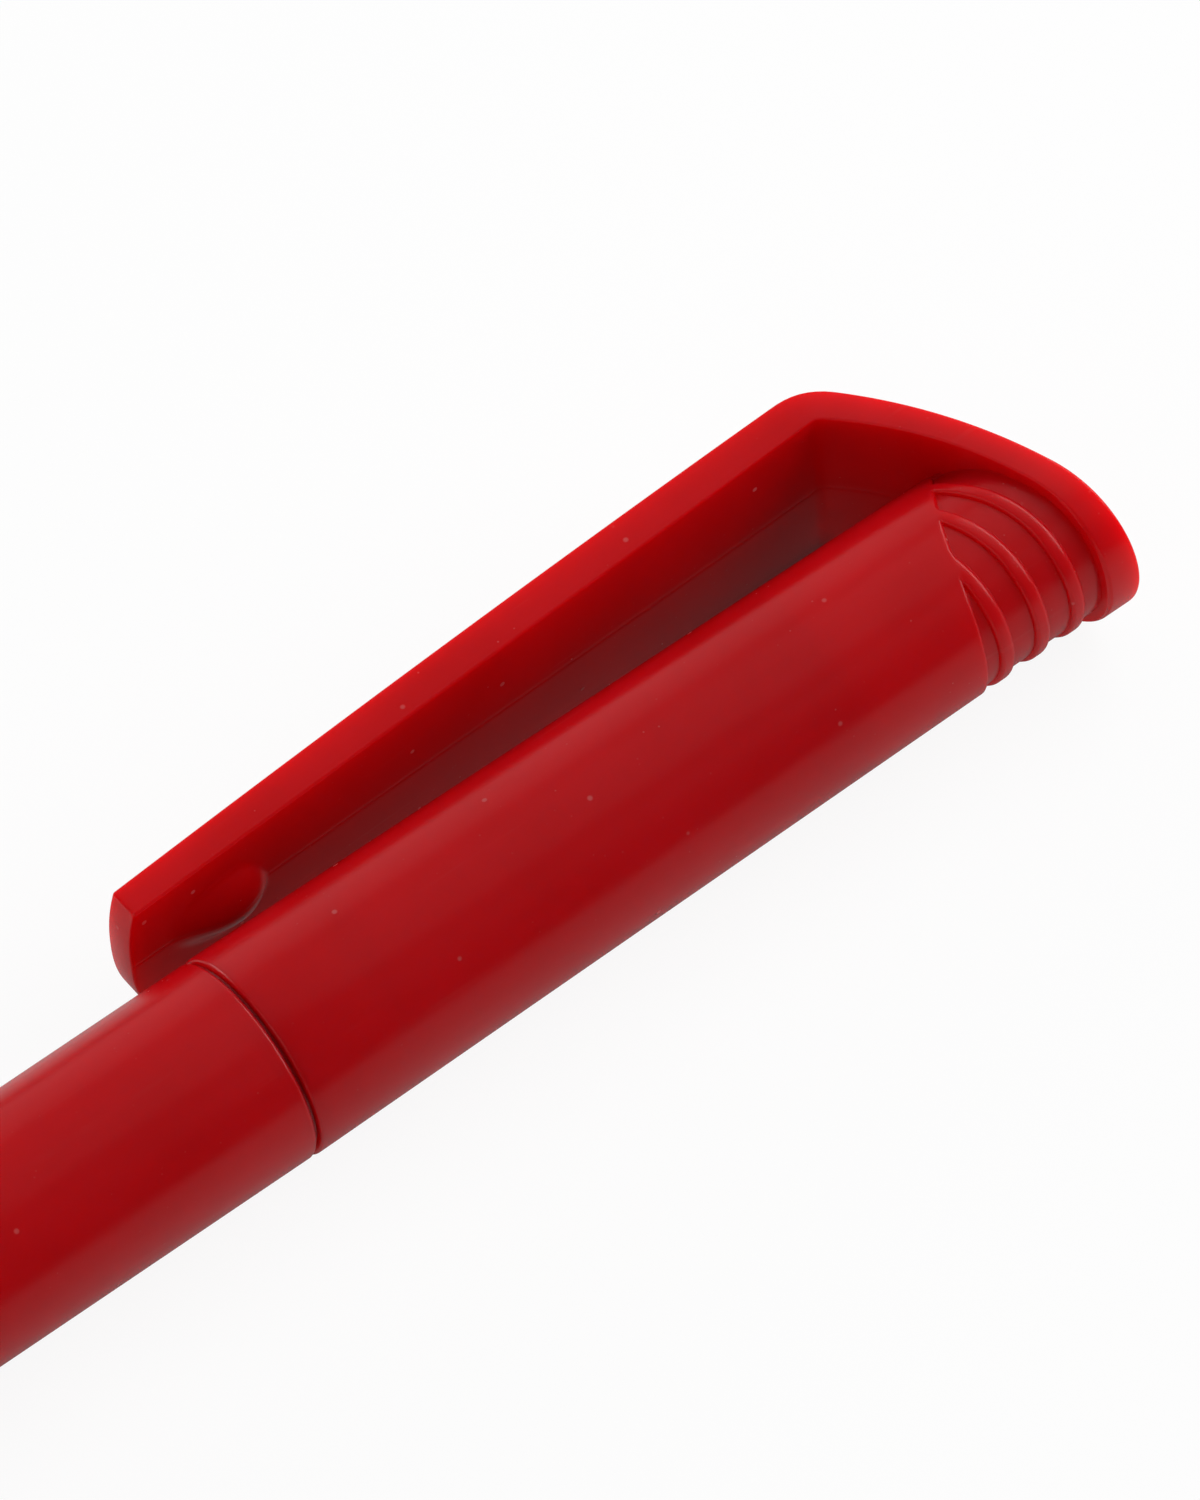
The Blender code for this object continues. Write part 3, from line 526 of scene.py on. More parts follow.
def band_paths(clip, hood, barrel, sides):
    """Heights of the clip's two sides, and paths of both sides of the bend to the hood, in side view."""
    under_tip = barrel.radius + clip.gap
    slope = clip.rise / (hood.corner + clip.overhang)

    def under(x):
        return under_tip + slope * (x + clip.overhang)

    top_tip = under_tip + clip.tip_thickness
    past = -clip.overhang - clip.end_bulge - hood.thickness
    corner_x, corner_y = sides.outer_start

    def top(x):
        share = (x - past) / (corner_x - past)
        return top_tip + (corner_y - top_tip) * share + 4 * clip.bow * share * (1 - share)

    start = hood.corner - CORNER_FROM
    inner_arc = arc_between(sides.inner_start, sides.inner_end, sides.inner_radius, FINE_STEPS)
    fillet = hood.inner_fillet
    after = next(p for p in inner_arc if math.dist(p, sides.inner_start) > fillet)
    before = (hood.corner - fillet, under(hood.corner - fillet))
    inner = [(start, under(start)), before]
    inner += bend(before, sides.inner_start, after, ARC_STEPS)
    inner += [p for p in inner_arc if p[0] > after[0] and p[1] > 0]
    inner.append((sides.inner_x(0.0), 0.0))

    outer_arc = arc_between(sides.outer_start, sides.outer_end, sides.outer_radius, FINE_STEPS)
    reach = hood.corner_radius * math.tan(CORNER_HALF_TURN)
    after = next(p for p in outer_arc if math.dist(p, sides.outer_start) > reach)
    before = (corner_x - reach, top(corner_x - reach))
    straight = [start + (before[0] - start) * i / ARC_STEPS for i in range(ARC_STEPS + 1)]
    outer = [(x, top(x)) for x in straight]
    outer += bend(before, sides.outer_start, after, ARC_STEPS)
    outer += [p for p in outer_arc if p[0] > after[0] and p[1] > 0]
    outer.append((sides.outer_x(0.0), 0.0))
    return under, top, inner, outer


def bend(start, corner, end, steps):
    """A soft curve from start to end that turns at the corner, without its first point."""
    points = []
    for i in range(1, steps + 1):
        t = i / steps
        weights = ((1 - t) ** 2, 2 * t * (1 - t), t * t)
        x = sum(w * p[0] for w, p in zip(weights, (start, corner, end)))
        y = sum(w * p[1] for w, p in zip(weights, (start, corner, end)))
        points.append((x, y))
    return points


def shut_face(face):
    """The loop that closes the clip's end face, halfway between its inner and its outer side."""
    across = len(face_shares())
    side = len(face) // 2 - across
    last = 2 * across + side - 1
    shut = []
    for index in range(len(face)):
        if across <= index < across + side:
            index = across - 1
        elif index > last:
            index = 0
        shut.append((face[index] + face[last - index]) / 2)
    return shut


def clip_band(clip, hood, barrel, sides):
    """The band of clip and hood, from the clip's tip round the bend to the hood's lowest point."""
    under, top, inner, outer = band_paths(clip, hood, barrel, sides)
    tip = -clip.overhang
    corner = hood.corner
    half_slope = (barrel.radius - clip.tip_half_width) / (corner - tip)

    def half_at(x):
        return min(barrel.radius, clip.tip_half_width + half_slope * (x - tip))

    def arm(x, shrink=0.0):
        bulge = clip.end_bulge * max(0.0, 1 - (x - tip) / clip.bead_front)
        ends = (x, under(x)), (x, top(x))
        return band_section(clip, *ends, half_at(x), bulge, shrink, barrel.radius)

    rings = []
    for turn in quarter_turns(TIP_STEPS):
        x = tip + clip.tip_edge * (1 - math.cos(turn))
        rings.append(arm(x, clip.tip_edge * (1 - math.sin(turn))))
    rings.insert(0, shut_face(rings[0]))

    bead_end = clip.bead_top + clip.bead_back
    begin = tip + clip.tip_edge
    for i in range(1, BEAD_STEPS + 1):
        rings.append(arm(begin + (bead_end + MM - begin) * i / BEAD_STEPS))
    first = bead_end + MM
    for i in range(1, CLIP_STEPS):
        rings.append(arm(first + (corner - CORNER_FROM - first) * i / CLIP_STEPS))
    pairs = zip(spaced(inner, CORNER_STEPS), spaced(outer, CORNER_STEPS))
    for point, partner in pairs:
        half = half_at((point[0] + partner[0]) / 2)
        rings.append(band_section(clip, point, partner, half, 0.0, 0.0, barrel.radius))
    for turn in quarter_turns(RIM_STEPS)[1:]:
        rings.append(rim_section(clip, hood, sides, turn, barrel.radius))
    return ring_stack("clip_band", rings, capped=False)


ABOVE_STEPS = 72
BORDER_STEPS = 6
BELOW_STEPS = 92
LAST_BORDER = math.radians(172.0)
FIELD_STEP = 0.25 * MM
LOW_STEP = 0.05 * MM
WALL_STEPS = 6
FOOT = 0.015 * MM
LEAN_FROM = 1.0 * MM
LEAN_EASE = 2.0 * MM
TILT_FROM = 30.0 * MM
TILT_STEPS = 5
CONE_STEPS = 6
PLUG_SHARES = (1.0, 0.7, 0.4, 0.1)
PLUG_DEPTH = 0.45


def rounded_edge(share):
    """Height of a rounded edge, from 0 at its foot to 1 where it meets the flat top."""
    inward = 1 - min(max(share, 0.0), 1.0)
    return math.sqrt(1 - inward * inward)


class RibField:
    """Curved crests below the hood, with a floor between them that is sunk into the barrel."""

    def __init__(self, ribs, barrel, hood, sides):
        self.ribs = ribs
        self.barrel = barrel
        self.hood = hood
        self.sides = sides
        self.level = sides.inner_x(0.0) - ribs.lean * LEAN_FROM

    def cone(self, x):
        return self.barrel.radius - self.barrel.taper * x / self.hood.corner

    def lean(self, y):
        """How far a crest lies along X from the field's level, at a height."""
        above = min(max(y + LEAN_FROM, -LEAN_EASE), LEAN_EASE)
        eased = (above + LEAN_EASE) ** 2 / (4 * LEAN_EASE) + max(0.0, y + LEAN_FROM - LEAN_EASE)
        return self.sides.inner_x(y) - self.ribs.lean * eased - self.level

    def crest(self, offset):
        """Height of the crests, 0 on the floor and 1 on top, at an offset from the hood."""
        ribs = self.ribs
        best = 0.0
        for back in self.backs():
            rise = rounded_edge((offset - back + ribs.width) / ribs.front_edge)
            fall = rounded_edge((back - offset) / ribs.back_edge)
            best = max(best, rise * fall)
        return best

    def backs(self):
        return [-self.ribs.first - index * self.ribs.pitch for index in range(self.ribs.count)]

    def offsets(self):
        """Places of the rings from the field's start to the hood, closer at the crests' edges."""
        ribs = self.ribs
        walls = []
        for back in self.backs():
            front = back - ribs.width
            walls += [front - FOOT, back + FOOT]
            for turn in quarter_turns(WALL_STEPS):
                inward = 1 - math.cos(turn)
                walls += [front + ribs.front_edge * inward, back - ribs.back_edge * inward]
        last = min(walls)
        start = -ribs.first - ribs.count * ribs.pitch
        count = round((last - start) / LOW_STEP)
        low = [start + (last - start) * i / count for i in range(-1, count)]
        count = round(-last / FIELD_STEP)
        even = [last * (1 - i / count) for i in range(1, count + 1)]
        clear = [place for place in even if all(abs(place - wall) > FIELD_STEP / 3 for wall in walls)]
        return sorted(low + walls + clear)

    def spot(self, middle, tilt, turn):
        y = self.cone(middle) * math.cos(turn)
        return middle + tilt * self.lean(y), y

    def away(self, middle, tilt, turn):
        """How far a point of a ring lies from the middle of the field's round edge."""
        x, y = self.spot(middle, tilt, turn)
        return math.hypot(x - self.ribs.field_centre, y + self.ribs.field_drop)

    def crossing(self, middle, tilt, radius):
        """The turn at which a ring comes that close to the middle of the field's edge."""
        low, high = 0.0, LAST_BORDER
        if self.away(middle, tilt, high) > radius:
            return high
        while high - low > WELD:
            half = (low + high) / 2
            if self.away(middle, tilt, half) > radius:
                low = half
            else:
                high = half
        return low

    def turns(self, middle, tilt):
        """Turns of a ring's points, right round from the clip's side, closer at the field's border."""
        ribs = self.ribs
        border = []
        for turn in quarter_turns(BORDER_STEPS):
            inward = ribs.border * math.sin(turn)
            border.append(self.crossing(middle, tilt, ribs.field_radius - inward))
        border.append(self.crossing(middle, tilt, ribs.field_radius - ribs.border - FOOT))
        for i in range(1, len(border)):
            border[i] = max(border[i], border[i - 1] + LEAST_TURN)
        above = [border[0] * i / ABOVE_STEPS for i in range(ABOVE_STEPS)]
        rest = math.pi - border[-1]
        below = [border[-1] + rest * i / BELOW_STEPS for i in range(1, BELOW_STEPS + 1)]
        half = above + border + below
        return half + [math.tau - turn for turn in reversed(half[1:-1])]

    def ring(self, middle, tilt, offset):
        """One loop round the barrel. The tilt turns it from a plain circle to the hood's slant."""
        ribs = self.ribs
        low = ribs.depth * (1 - self.crest(offset))
        points = []
        for turn in self.turns(middle, tilt):
            x, y = self.spot(middle, tilt, turn)
            inward = (ribs.field_radius - self.away(middle, tilt, turn)) / ribs.border
            sunk = 1 - rounded_edge(1 - max(inward, 0.0))
            radius = self.cone(x) - low * sunk
            points.append(at(x, radius * math.cos(turn), radius * math.sin(turn)))
        return points

    def circle(self, x, radius):
        return [at(x, radius * math.cos(t), radius * math.sin(t)) for t in self.turns(x, 0.0)]

    def plug(self, share, depth):
        """A loop inside the hood, which closes the barrel's upper end."""
        points = []
        for turn in self.turns(self.level, 1.0):
            radius = (self.cone(self.hood.end) - self.ribs.depth) * share
            y = radius * math.cos(turn)
            points.append(at(self.sides.inner_x(y) + depth, y, radius * math.sin(turn)))
        return points


def upper_rings(barrel, hood, ribs, sides):
    """Rings from the end of the bore, down to the seam and up the outside into the hood."""
    field = RibField(ribs, barrel, hood, sides)
    low = SEAM_GAP / 2 - barrel.seam_lip
    bore = barrel.radius - barrel.wall
    profile = [(barrel.bore_depth, barrel.bore_end), (barrel.bore_step, barrel.bore_end)]
    slope = [(barrel.snap_half + barrel.snap_depth, bore), (barrel.snap_half, bore + barrel.snap_depth)]
    groove = slope + [(-x, radius) for x, radius in reversed(slope)]
    profile.append((barrel.bore_step, bore))
    profile += [(barrel.snap_place + x, radius) for x, radius in groove]
    profile.append((low, bore))
    profile += rounding(low, field.cone(low), barrel.seam_edge, EDGE_STEPS, -1)
    rings = [field.circle(x, radius) for x, radius in profile]
    begin = low + barrel.seam_edge
    offsets = field.offsets()
    for i in range(1, CONE_STEPS + 1):
        x = begin + (TILT_FROM - begin) * i / CONE_STEPS
        rings.append(field.circle(x, field.cone(x)))
    reach = field.level + offsets[0] - TILT_FROM
    for i in range(1, TILT_STEPS):
        share = i / TILT_STEPS
        rings.append(field.ring(TILT_FROM + reach * share, smooth(share, 0.0, 1.0), offsets[0]))
    rings += [field.ring(field.level + offset, 1.0, offset) for offset in offsets]
    rings += [field.plug(share, hood.thickness * PLUG_DEPTH) for share in PLUG_SHARES]
    return rings


def make_upper_barrel(scene):
    barrel, clip, hood, ribs = scene.pen_barrel, scene.pen_clip, scene.pen_hood, scene.pen_ribs
    sides = HoodSides(clip, hood, barrel)
    piece = ring_stack("upper_barrel_shell", upper_rings(barrel, hood, ribs, sides), capped=True)
    band = clip_band(clip, hood, barrel, sides)
    join_solid(piece, band)
    soften(piece, 50.0)
    surface = red_plastic(scene.pen_finish)
    finished(piece, surface, "red_plastic", "upper_body", "upper_barrel")


TURN_STEPS = 192
EASE_STEPS = 16
EASE_BEND = 0.6


def make_lower_barrel(scene):
    barrel, nose = scene.pen_barrel, scene.pen_nose
    top = -SEAM_GAP / 2
    joint = LOWER_BOX[0].x - AXIS.x
    straight = barrel.lower_radius - barrel.lower_slight_taper
    end = straight - barrel.lower_end_taper
    outside = rounding(top, barrel.lower_radius, barrel.lower_edge, 2 * EDGE_STEPS, 1)
    outside.append((-barrel.lower_straight / 2, (barrel.lower_radius + straight) / 2))
    for i in range(EASE_STEPS + 1):
        share = i / EASE_STEPS
        x = -barrel.lower_straight + (joint + nose.joint_edge + barrel.lower_straight) * share
        ease = share * share * (1 + EASE_BEND - EASE_BEND * share)
        outside.append((x, straight + (end - straight) * ease))
    outside += rounding(joint, end, nose.joint_edge, EDGE_STEPS, -1)[-2::-1]
    seat = -barrel.mouth_depth
    inside = [(joint, barrel.lower_bore), (seat, barrel.lower_bore)]
    tongue = barrel.lower_radius - barrel.tongue_inset
    lip = top + barrel.tongue
    inside += [(seat, barrel.mouth_radius), (lip, barrel.mouth_radius), (lip, tongue), (top, tongue)]
    piece = turned("lower_barrel_shell", outside + inside, TURN_STEPS)
    soften(piece, 40.0)
    surface = red_plastic(scene.pen_finish)
    finished(piece, surface, "red_plastic", "lower_body", "lower_barrel")


def make_nose_cone(scene):
    barrel, nose = scene.pen_barrel, scene.pen_nose
    front = NOSE_BOX[0].x - AXIS.x
    back = NOSE_BOX[1].x - AXIS.x
    joint = LOWER_BOX[0].x - AXIS.x - nose.joint_gap
    start = barrel.lower_radius - barrel.lower_slight_taper - barrel.lower_end_taper
    outside = rounding(joint, start, nose.joint_edge, EDGE_STEPS, 1)
    for i in range(1, 2 * EASE_STEPS + 1):
        share = i / (2 * EASE_STEPS)
        x = joint - nose.joint_edge + (front + nose.lip - joint + nose.joint_edge) * share
        straight = start + (nose.tip_radius - start) * share
        outside.append((x, straight + 4 * nose.swell * share * (1 - share)))
    outside += rounding(front, nose.tip_radius, nose.lip, EDGE_STEPS, -1)[-2::-1]
    seat = front + nose.seat_depth
    chamber = seat + nose.chamber_length
    inside = [(front, nose.hole), (seat, nose.hole), (seat, nose.chamber), (chamber, nose.chamber)]
    inside += [(chamber + nose.passage - nose.chamber, nose.passage), (back, nose.passage)]
    spigot = [(back, nose.spigot), (joint, nose.spigot)]
    piece = turned("nose_cone_shell", spigot + outside + inside, TURN_STEPS)
    soften(piece, 40.0)
    surface = red_plastic(scene.pen_finish)
    finished(piece, surface, "red_plastic", "lower_body", "nose_cone")


TIP_TURN_STEPS = 96
CUP_STEPS = 12
COLLARS = (0.42, 0.47, 0.93)


def make_writing_tip(scene):
    """The brass tip: a cone with its ball seat, three turned grooves, a shoulder and a spigot."""
    refill = scene.pen_refill
    ball = (BALL_BOX[1].x - BALL_BOX[0].x) / 2
    ball_x = BALL_BOX[0].x + ball - AXIS.x
    front = ball_x - ball
    lip_x = TIP_BOX[0].x - AXIS.x
    seat = ball + refill.ball_play
    lip_turn = math.acos((ball_x - lip_x) / seat)
    back_turn = math.pi - math.asin(refill.ink_bore / seat)
    turns = [lip_turn + (back_turn - lip_turn) * i / CUP_STEPS for i in range(CUP_STEPS + 1)]
    cup = [(ball_x - seat * math.cos(t), seat * math.sin(t)) for t in turns]
    lip = cup[0][1] + refill.lip_width
    shoulder = front + refill.tip_shank
    end = TIP_BOX[1].x - AXIS.x
    cone_end = front + refill.tip_cone
    soft = refill.tip_collar
    outside = [(shoulder, refill.tip_radius - soft), (shoulder - soft, refill.tip_radius)]
    for share in reversed(COLLARS):
        x = cone_end + (shoulder - cone_end) * share
        outside += [(x + 2 * soft, refill.tip_radius), (x + soft, refill.tip_radius - soft)]
        outside += [(x - soft, refill.tip_radius - soft), (x - 2 * soft, refill.tip_radius)]
    outside += [(cone_end + soft, refill.tip_radius), (cone_end - soft, refill.tip_radius - soft / 4)]
    outside.append((lip_x + soft / 2, lip))
    outside.append((lip_x, lip - soft / 2))
    spigot = [(end, refill.spigot_radius), (shoulder, refill.spigot_radius)]
    profile = spigot + outside + cup + [(end, refill.ink_bore)]
    piece = turned("writing_tip_turned", profile, TIP_TURN_STEPS)
    soften(piece, 25.0)
    surface = turned_metal("brass", scene.pen_finish.brass, 0.22)
    finished(piece, surface, "brass", "refill_body", "writing_tip")


WIRE_POINTS = 12
STEPS_PER_TURN = 24
CLOSED_PITCH = 1.06


def make_return_spring(scene):
    """The coil spring, with a closed turn at each end."""
    refill = scene.pen_refill
    wire = refill.wire
    low = SPRING_BOX[0].x - AXIS.x + wire
    high = SPRING_BOX[1].x - AXIS.x - wire
    radius = (SPRING_BOX[1].z - SPRING_BOX[0].z) / 2 - wire
    closed = 2 * wire * CLOSED_PITCH
    turns = refill.turns + 2
    pitch = (high - low - 2 * closed) / refill.turns
    rings = []
    for i in range(turns * STEPS_PER_TURN + 1):
        turn = i / STEPS_PER_TURN
        first = min(turn, 1.0) * closed
        middle = min(max(turn - 1.0, 0.0), refill.turns) * pitch
        last = max(turn - turns + 1.0, 0.0) * closed
        x = low + first + middle + last
        angle = math.tau * turn
        ring = []
        for k in range(WIRE_POINTS):
            around = math.tau * k / WIRE_POINTS
            out = radius + wire * math.cos(around)
            ring.append(at(x + wire * math.sin(around), out * math.cos(angle), out * math.sin(angle)))
        rings.append(ring)
    piece = ring_stack("return_spring_coil", rings, capped=True)
    soften(piece, 60.0)
    surface = turned_metal("steel", scene.pen_finish.steel, 0.25)
    finished(piece, surface, "steel", "lower_body", "return_spring")
    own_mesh(piece)


def dress_inner_works(scene):
    """Finishes for the solids inside the barrels, whose shapes stay as they are."""
    finish = scene.pen_finish
    natural = satin_plastic("natural_acetal", finish.natural, 0.42)
    black = satin_plastic("black_acetal", finish.black, 0.4)
    clear = satin_plastic("refill_plastic", finish.clear, 0.25)
    ink = wet_ink("blue_ink", finish.ink)
    steel = turned_metal("steel_ball", finish.steel, 0.12)
    surfaces = {
        "guide_sleeve": natural,
        "plunger": natural,
        "refill_plug": natural,
        "tip_socket": natural,
        "cam_sleeve": black,
        "refill_tube": clear,
        "grease_plug": clear,
        "ink_column": ink,
        "ball": steel,
    }
    for node, surface in surfaces.items():
        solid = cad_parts[node]
        for spot in solid.material_slots:
            spot.material = surface


class Value:
    """One output of a node. Arithmetic on it adds Math nodes."""

    def __init__(self, paint, socket):
        self.paint = paint
        self.socket = socket

    def math(self, operation, first, second):
        return self.paint.node("ShaderNodeMath", {"operation": operation}, {0: first, 1: second})

    def __add__(self, other):
        return self.math("ADD", self, other)

    def __radd__(self, other):
        return self.math("ADD", other, self)

    def __rsub__(self, other):
        return self.math("SUBTRACT", other, self)

    def __mul__(self, other):
        return self.math("MULTIPLY", self, other)

    def rise(self, low, high):
        """0 below low, 1 above high, soft between."""
        settings = {"interpolation_type": "SMOOTHSTEP"}
        return self.paint.node(
            "ShaderNodeMapRange", settings, {"Value": self, "From Min": low, "From Max": high}
        )


class Paint:
    """A material that is put together from nodes."""

    def __init__(self, name):
        self.material = bpy.data.materials.new(name)
        self.material.use_nodes = True
        self.tree = self.material.node_tree
        self.shader = self.tree.nodes["Principled BSDF"]

    def node(self, kind, settings=None, sockets=None, out=0):
        made = self.tree.nodes.new(kind)
        for key, value in (settings or {}).items():
            setattr(made, key, value)
        for key, value in (sockets or {}).items():
            self.feed(made.inputs[key], value)
        return Value(self, made.outputs[out])

    def feed(self, socket, value):
        if isinstance(value, Value):
            self.tree.links.new(value.socket, socket)
        else:
            socket.default_value = value

    def set(self, **sockets):
        for key, value in sockets.items():
            self.feed(self.shader.inputs[key.replace("_", " ")], value)

    def place(self):
        return self.node("ShaderNodeTexCoord", out="Object")

    def stretched(self, place, scale):
        return self.node("ShaderNodeMapping", None, {"Vector": place, "Scale": scale})

    def noise(self, place, scale, detail, rough=0.5):
        sockets = {"Vector": place, "Scale": scale, "Detail": detail, "Roughness": rough}
        return self.node("ShaderNodeTexNoise", None, sockets, "Fac")

    def cells(self, place, scale):
        return self.node("ShaderNodeTexVoronoi", None, {"Vector": place, "Scale": scale}, "Distance")

    def blend(self, share, first, second):
        settings = {"data_type": "RGBA"}
        return self.node("ShaderNodeMix", settings, {0: share, 6: first, 7: second}, 2)

    def bump(self, height, strength, distance):
        sockets = {"Height": height, "Strength": strength, "Distance": distance}
        return self.node("ShaderNodeBump", None, sockets)


def opaque(tint):
    return (*tint, 1.0)


def red_plastic(finish):
    """Glossy moulded plastic with a cloudy tint, fine dust and rubbed streaks along the pen."""
    made = bpy.data.materials.get("red_plastic_moulded")
    if made:
        return made
    paint = Paint("red_plastic_moulded")
    place = paint.place()
    cloud = paint.noise(place, 130.0, 3.0).rise(0.35, 0.7)
    tint = paint.blend(cloud, opaque(finish.red), opaque(finish.deep_red))
    patches = paint.noise(place, 260.0, 2.0).rise(0.35, 0.75)
    fine = 1 - paint.cells(place, 1300.0).rise(0.03, 0.1)
    coarse = 1 - paint.cells(place, 400.0).rise(0.02, 0.075)
    along = paint.stretched(place, (60.0, 1400.0, 1400.0))
    streaks = paint.noise(along, 1.0, 2.0).rise(0.66, 0.78)
    rubbed = patches * streaks
    dust = fine * patches * 0.2 + coarse * 0.35 + rubbed * 0.06
    paint.set(
        Base_Color=paint.blend(dust, tint, opaque(finish.dust)),
        Roughness=0.24 + dust * 0.3,
        Specular_IOR_Level=0.22,
        Subsurface_Weight=1.0,
        Subsurface_Radius=(1.0, 0.05, 0.05),
        Subsurface_Scale=0.0046,
    )
    ripple = paint.noise(place, 420.0, 2.0) + dust * 0.4
    paint.set(Normal=paint.bump(ripple, 0.07, 0.00003))
    return paint.material


def satin_plastic(name, tint, rough):
    """Satin moulded plastic with a slight unevenness."""
    paint = Paint(name + "_satin")
    place = paint.place()
    cloud = paint.noise(place, 220.0, 3.0)
    shade = tuple(0.86 * part for part in tint)
    grain = paint.noise(place, 5200.0, 2.0)
    paint.set(
        Base_Color=paint.blend(cloud.rise(0.3, 0.7), opaque(tint), opaque(shade)),
        Roughness=rough - 0.06 + grain * 0.12,
        Specular_IOR_Level=0.4,
        Normal=paint.bump(grain, 0.15, 0.00001),
    )
    return paint.material


def turned_metal(name, tint, rough):
    """Metal with fine lines that run round the pen's axis."""
    paint = Paint(name + "_turned")
    place = paint.place()
    lines = paint.noise(paint.stretched(place, (26000.0, 300.0, 300.0)), 1.0, 2.0)
    shade = tuple(0.72 * part for part in tint)
    stain = paint.noise(place, 900.0, 3.0).rise(0.4, 0.75)
    paint.set(
        Base_Color=paint.blend(stain, opaque(tint), opaque(shade)),
        Metallic=1.0,
        Roughness=rough + lines * 0.12 + stain * 0.08,
        Normal=paint.bump(lines, 0.2, 0.000004),
    )
    return paint.material


def wet_ink(name, tint):
    """Dark ink paste with a wet surface."""
    paint = Paint(name + "_paste")
    place = paint.place()
    swirl = paint.noise(place, 700.0, 4.0).rise(0.35, 0.7)
    shade = tuple(0.4 * part for part in tint)
    paint.set(
        Base_Color=paint.blend(swirl, opaque(tint), opaque(shade)),
        Roughness=0.12 + swirl * 0.1,
    )
    return paint.material


# Painted reflection of the floor, seen by glossy and transmission rays only: a painted shadow that
# lightens from the pen's middle line out to 15.5 mm, then a pale painted strip of 0.6 that fades out from
# 30 to 120 mm.
PAINTED_SHADOW_REACH = 0.0155
PAINTED_REFLECTION_FADE = (0.03, 0.12)
PAINTED_REFLECTION_LIGHT = 0.6
PAPER_LIGHT = 1.02


def floor_paint(stage):
    """White to the camera; in reflections a painted strip beside the pen, dark near the pen as a painted
    shadow; and a lit share that takes the pen's real shadow.
    """
    paint = Paint("floor_paper")
    place = paint.place()
    cloud = paint.noise(place, 3.0, 2.0)
    darker = tuple(0.985 * part for part in stage.floor)
    paint.set(
        Base_Color=paint.blend(cloud, opaque(stage.floor), opaque(darker)),
        Roughness=0.9,
        Specular_IOR_Level=0.0,
    )
    kinds = ("Camera", "Glossy", "Transmission")
    rays = [paint.node("ShaderNodeLightPath", out=f"Is {kind} Ray") for kind in kinds]
    across = paint.stretched(place, (0.0, 1.0, 0.0))
    away = paint.node("ShaderNodeVectorMath", {"operation": "LENGTH"}, {0: across}, "Value")
    seen = rays[0] + rays[1] + rays[2]
    # Painted reflection: painted shadow along the pen, a pale painted strip further out; camera rays get
    # plain white instead.
    painted_reflection = away.rise(0.0, PAINTED_SHADOW_REACH) * (1 - away.rise(*PAINTED_REFLECTION_FADE)) * PAINTED_REFLECTION_LIGHT
    bright = rays[0] + (1 - rays[0]) * painted_reflection
    shade = paint.blend(bright, (0.0, 0.0, 0.0, 1.0), (1.0, 1.0, 1.0, 1.0))
    white = paint.node("ShaderNodeEmission", None, {"Color": shade, "Strength": PAPER_LIGHT})
    lit = Value(paint, paint.shader.outputs[0])
    mixed = paint.node("ShaderNodeMixShader", None, {0: seen * stage.floor_white, 1: lit, 2: white})
    output = paint.tree.nodes["Material Output"]
    paint.tree.links.new(mixed.socket, output.inputs["Surface"])
    return paint.material


# Name, place, size and brightness of each panel
LAMPS = (
    ("key", (0.36, 0.03, 0.33), (0.42, 0.2), 4.0),
    ("rim", (-0.35, 0.8, 0.22), (0.5, 0.4), 3.7),
    ("left", (-0.8, -0.15, 0.6), (1.2, 0.9), 0.65),
    ("front", (0.7, -0.42, 0.4), (0.5, 0.5), 3.2),
    ("back", (0.35, 1.0, 0.42), (1.8, 0.8), 0.6),
    ("top", (0.3, 0.3, 1.05), (1.4, 1.1), 0.26),
)


FLOOR_CELLS = 8
FLOOR_DROP = 0.02 * MM


def add_lamp(name, place, size, radiance):
    """A soft panel that faces the pen, with its brightness given as seen from the pen."""
    bpy.ops.object.light_add(type="AREA", location=place)
    lamp = bpy.context.object
    lamp.name = name + "_panel"
    lamp.data.shape = "RECTANGLE"
    lamp.data.size, lamp.data.size_y = size
    lamp.data.energy = math.pi * size[0] * size[1] * radiance
    lamp.visible_camera = False
    lamp.rotation_euler = (-Vector(place)).to_track_quat("-Z", "Y").to_euler()


def make_stage(scene):
    stage = scene.pen_stage
    clear_selection()
    cells = {"x_subdivisions": FLOOR_CELLS, "y_subdivisions": FLOOR_CELLS}
    bpy.ops.mesh.primitive_grid_add(size=stage.floor_size, **cells)
    floor = named("floor")
    bpy.ops.object.mode_set(mode="EDIT")
    bpy.ops.transform.translate(value=(0.0, 0.0, -FLOOR_DROP))
    bpy.ops.object.mode_set(mode="OBJECT")
    floor.data.materials.append(floor_paint(stage))
    for name, place, size, radiance in LAMPS:
        clear_selection()
        add_lamp(name, place, size, radiance)
    world = bpy.data.worlds.new("room")
    world.use_nodes = True
    air = world.node_tree.nodes["Background"]
    air.inputs["Color"].default_value = (1.0, 1.0, 1.0, 1.0)
    air.inputs["Strength"].default_value = stage.air
    scene.world = world
    bpy.ops.object.camera_add(location=stage.camera_place, rotation=stage.camera_turn)
    camera = bpy.context.object
    camera.name = "view"
    camera.data.lens = stage.lens
    camera.data.sensor_width = 36.0
    camera.data.clip_start = 0.01
    camera.data.clip_end = 50.0
    scene.camera = camera
    scene.view_settings.view_transform = "Standard"


class PEN_OT_upper_barrel(bpy.types.Operator):
    """Models the upper barrel with its ribs, clip and hood"""

    bl_idname = "pen.upper_barrel"
    bl_label = "Upper barrel"

    def execute(self, context):
        make_upper_barrel(context.scene)
        return {"FINISHED"}


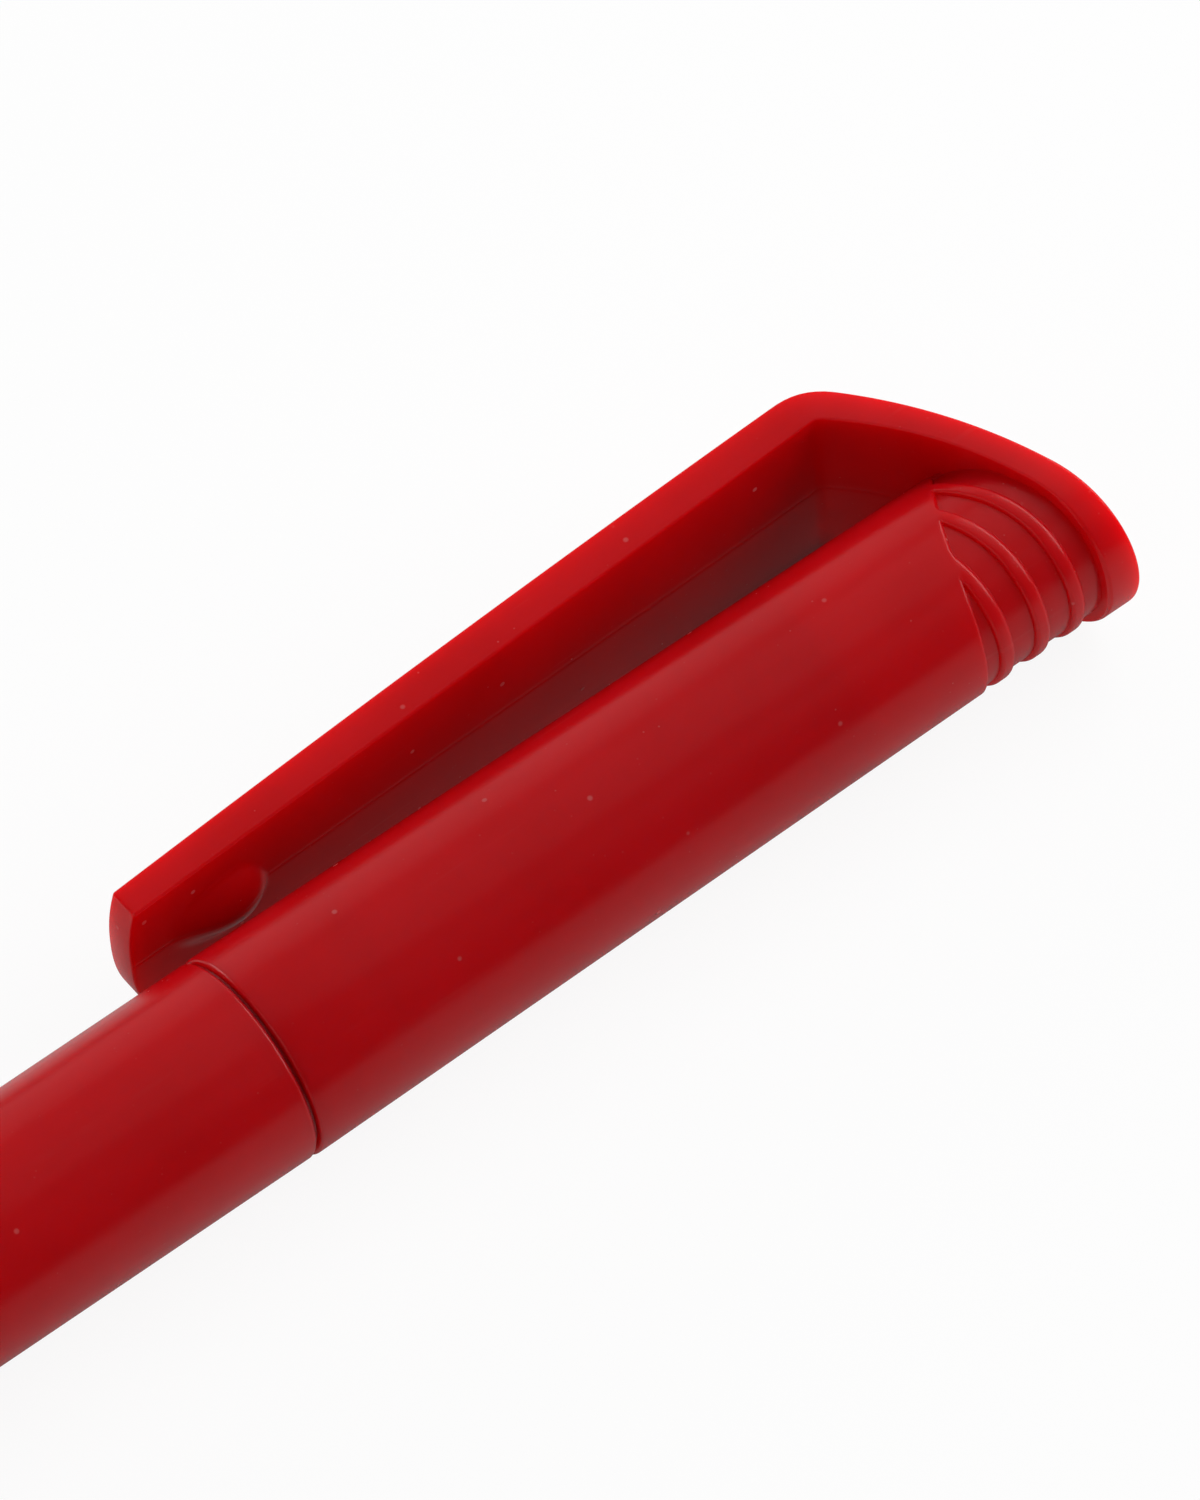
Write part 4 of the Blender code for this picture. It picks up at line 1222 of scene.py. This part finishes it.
class PEN_OT_lower_barrel(bpy.types.Operator):
    """Models the lower barrel"""

    bl_idname = "pen.lower_barrel"
    bl_label = "Lower barrel"

    def execute(self, context):
        make_lower_barrel(context.scene)
        return {"FINISHED"}


class PEN_OT_nose_cone(bpy.types.Operator):
    """Models the nose cone"""

    bl_idname = "pen.nose_cone"
    bl_label = "Nose cone"

    def execute(self, context):
        make_nose_cone(context.scene)
        return {"FINISHED"}


class PEN_OT_writing_tip(bpy.types.Operator):
    """Models the brass writing tip"""

    bl_idname = "pen.writing_tip"
    bl_label = "Writing tip"

    def execute(self, context):
        make_writing_tip(context.scene)
        return {"FINISHED"}


class PEN_OT_return_spring(bpy.types.Operator):
    """Models the return spring"""

    bl_idname = "pen.return_spring"
    bl_label = "Return spring"

    def execute(self, context):
        make_return_spring(context.scene)
        return {"FINISHED"}


class PEN_OT_inner_works(bpy.types.Operator):
    """Finishes the sleeves, the plunger and the refill"""

    bl_idname = "pen.inner_works"
    bl_label = "Inner works"

    def execute(self, context):
        dress_inner_works(context.scene)
        return {"FINISHED"}


class PEN_OT_stage(bpy.types.Operator):
    """Sets up the floor, the lamps and the camera"""

    bl_idname = "pen.stage"
    bl_label = "Stage"

    def execute(self, context):
        make_stage(context.scene)
        return {"FINISHED"}


class PEN_PT_sidebar(bpy.types.Panel):
    """Lists the pieces of the pen"""

    bl_idname = "PEN_PT_sidebar"
    bl_label = "Twist pen"
    bl_space_type = "VIEW_3D"
    bl_region_type = "UI"
    bl_category = "Pen"

    def draw(self, context):
        for operator in OPERATORS:
            self.layout.operator(operator.bl_idname)


GROUPS = {
    "pen_barrel": BarrelShape,
    "pen_clip": ClipShape,
    "pen_hood": HoodShape,
    "pen_ribs": RibShape,
    "pen_nose": NoseShape,
    "pen_refill": RefillShape,
    "pen_finish": PenFinish,
    "pen_stage": StageSetting,
}
OPERATORS = (
    PEN_OT_upper_barrel,
    PEN_OT_lower_barrel,
    PEN_OT_nose_cone,
    PEN_OT_writing_tip,
    PEN_OT_return_spring,
    PEN_OT_inner_works,
    PEN_OT_stage,
)


def register():
    for name, group in GROUPS.items():
        bpy.utils.register_class(group)
        setattr(bpy.types.Scene, name, bpy.props.PointerProperty(type=group))
    for operator in OPERATORS:
        bpy.utils.register_class(operator)
    bpy.utils.register_class(PEN_PT_sidebar)


def unregister():
    bpy.utils.unregister_class(PEN_PT_sidebar)
    for operator in reversed(OPERATORS):
        bpy.utils.unregister_class(operator)
    for name, group in reversed(GROUPS.items()):
        delattr(bpy.types.Scene, name)
        bpy.utils.unregister_class(group)


def main():
    register()
    bpy.ops.pen.upper_barrel()
    bpy.ops.pen.lower_barrel()
    bpy.ops.pen.nose_cone()
    bpy.ops.pen.writing_tip()
    bpy.ops.pen.return_spring()
    bpy.ops.pen.inner_works()
    bpy.ops.pen.stage()
    clear_selection()


if __name__ == "__main__":
    main()
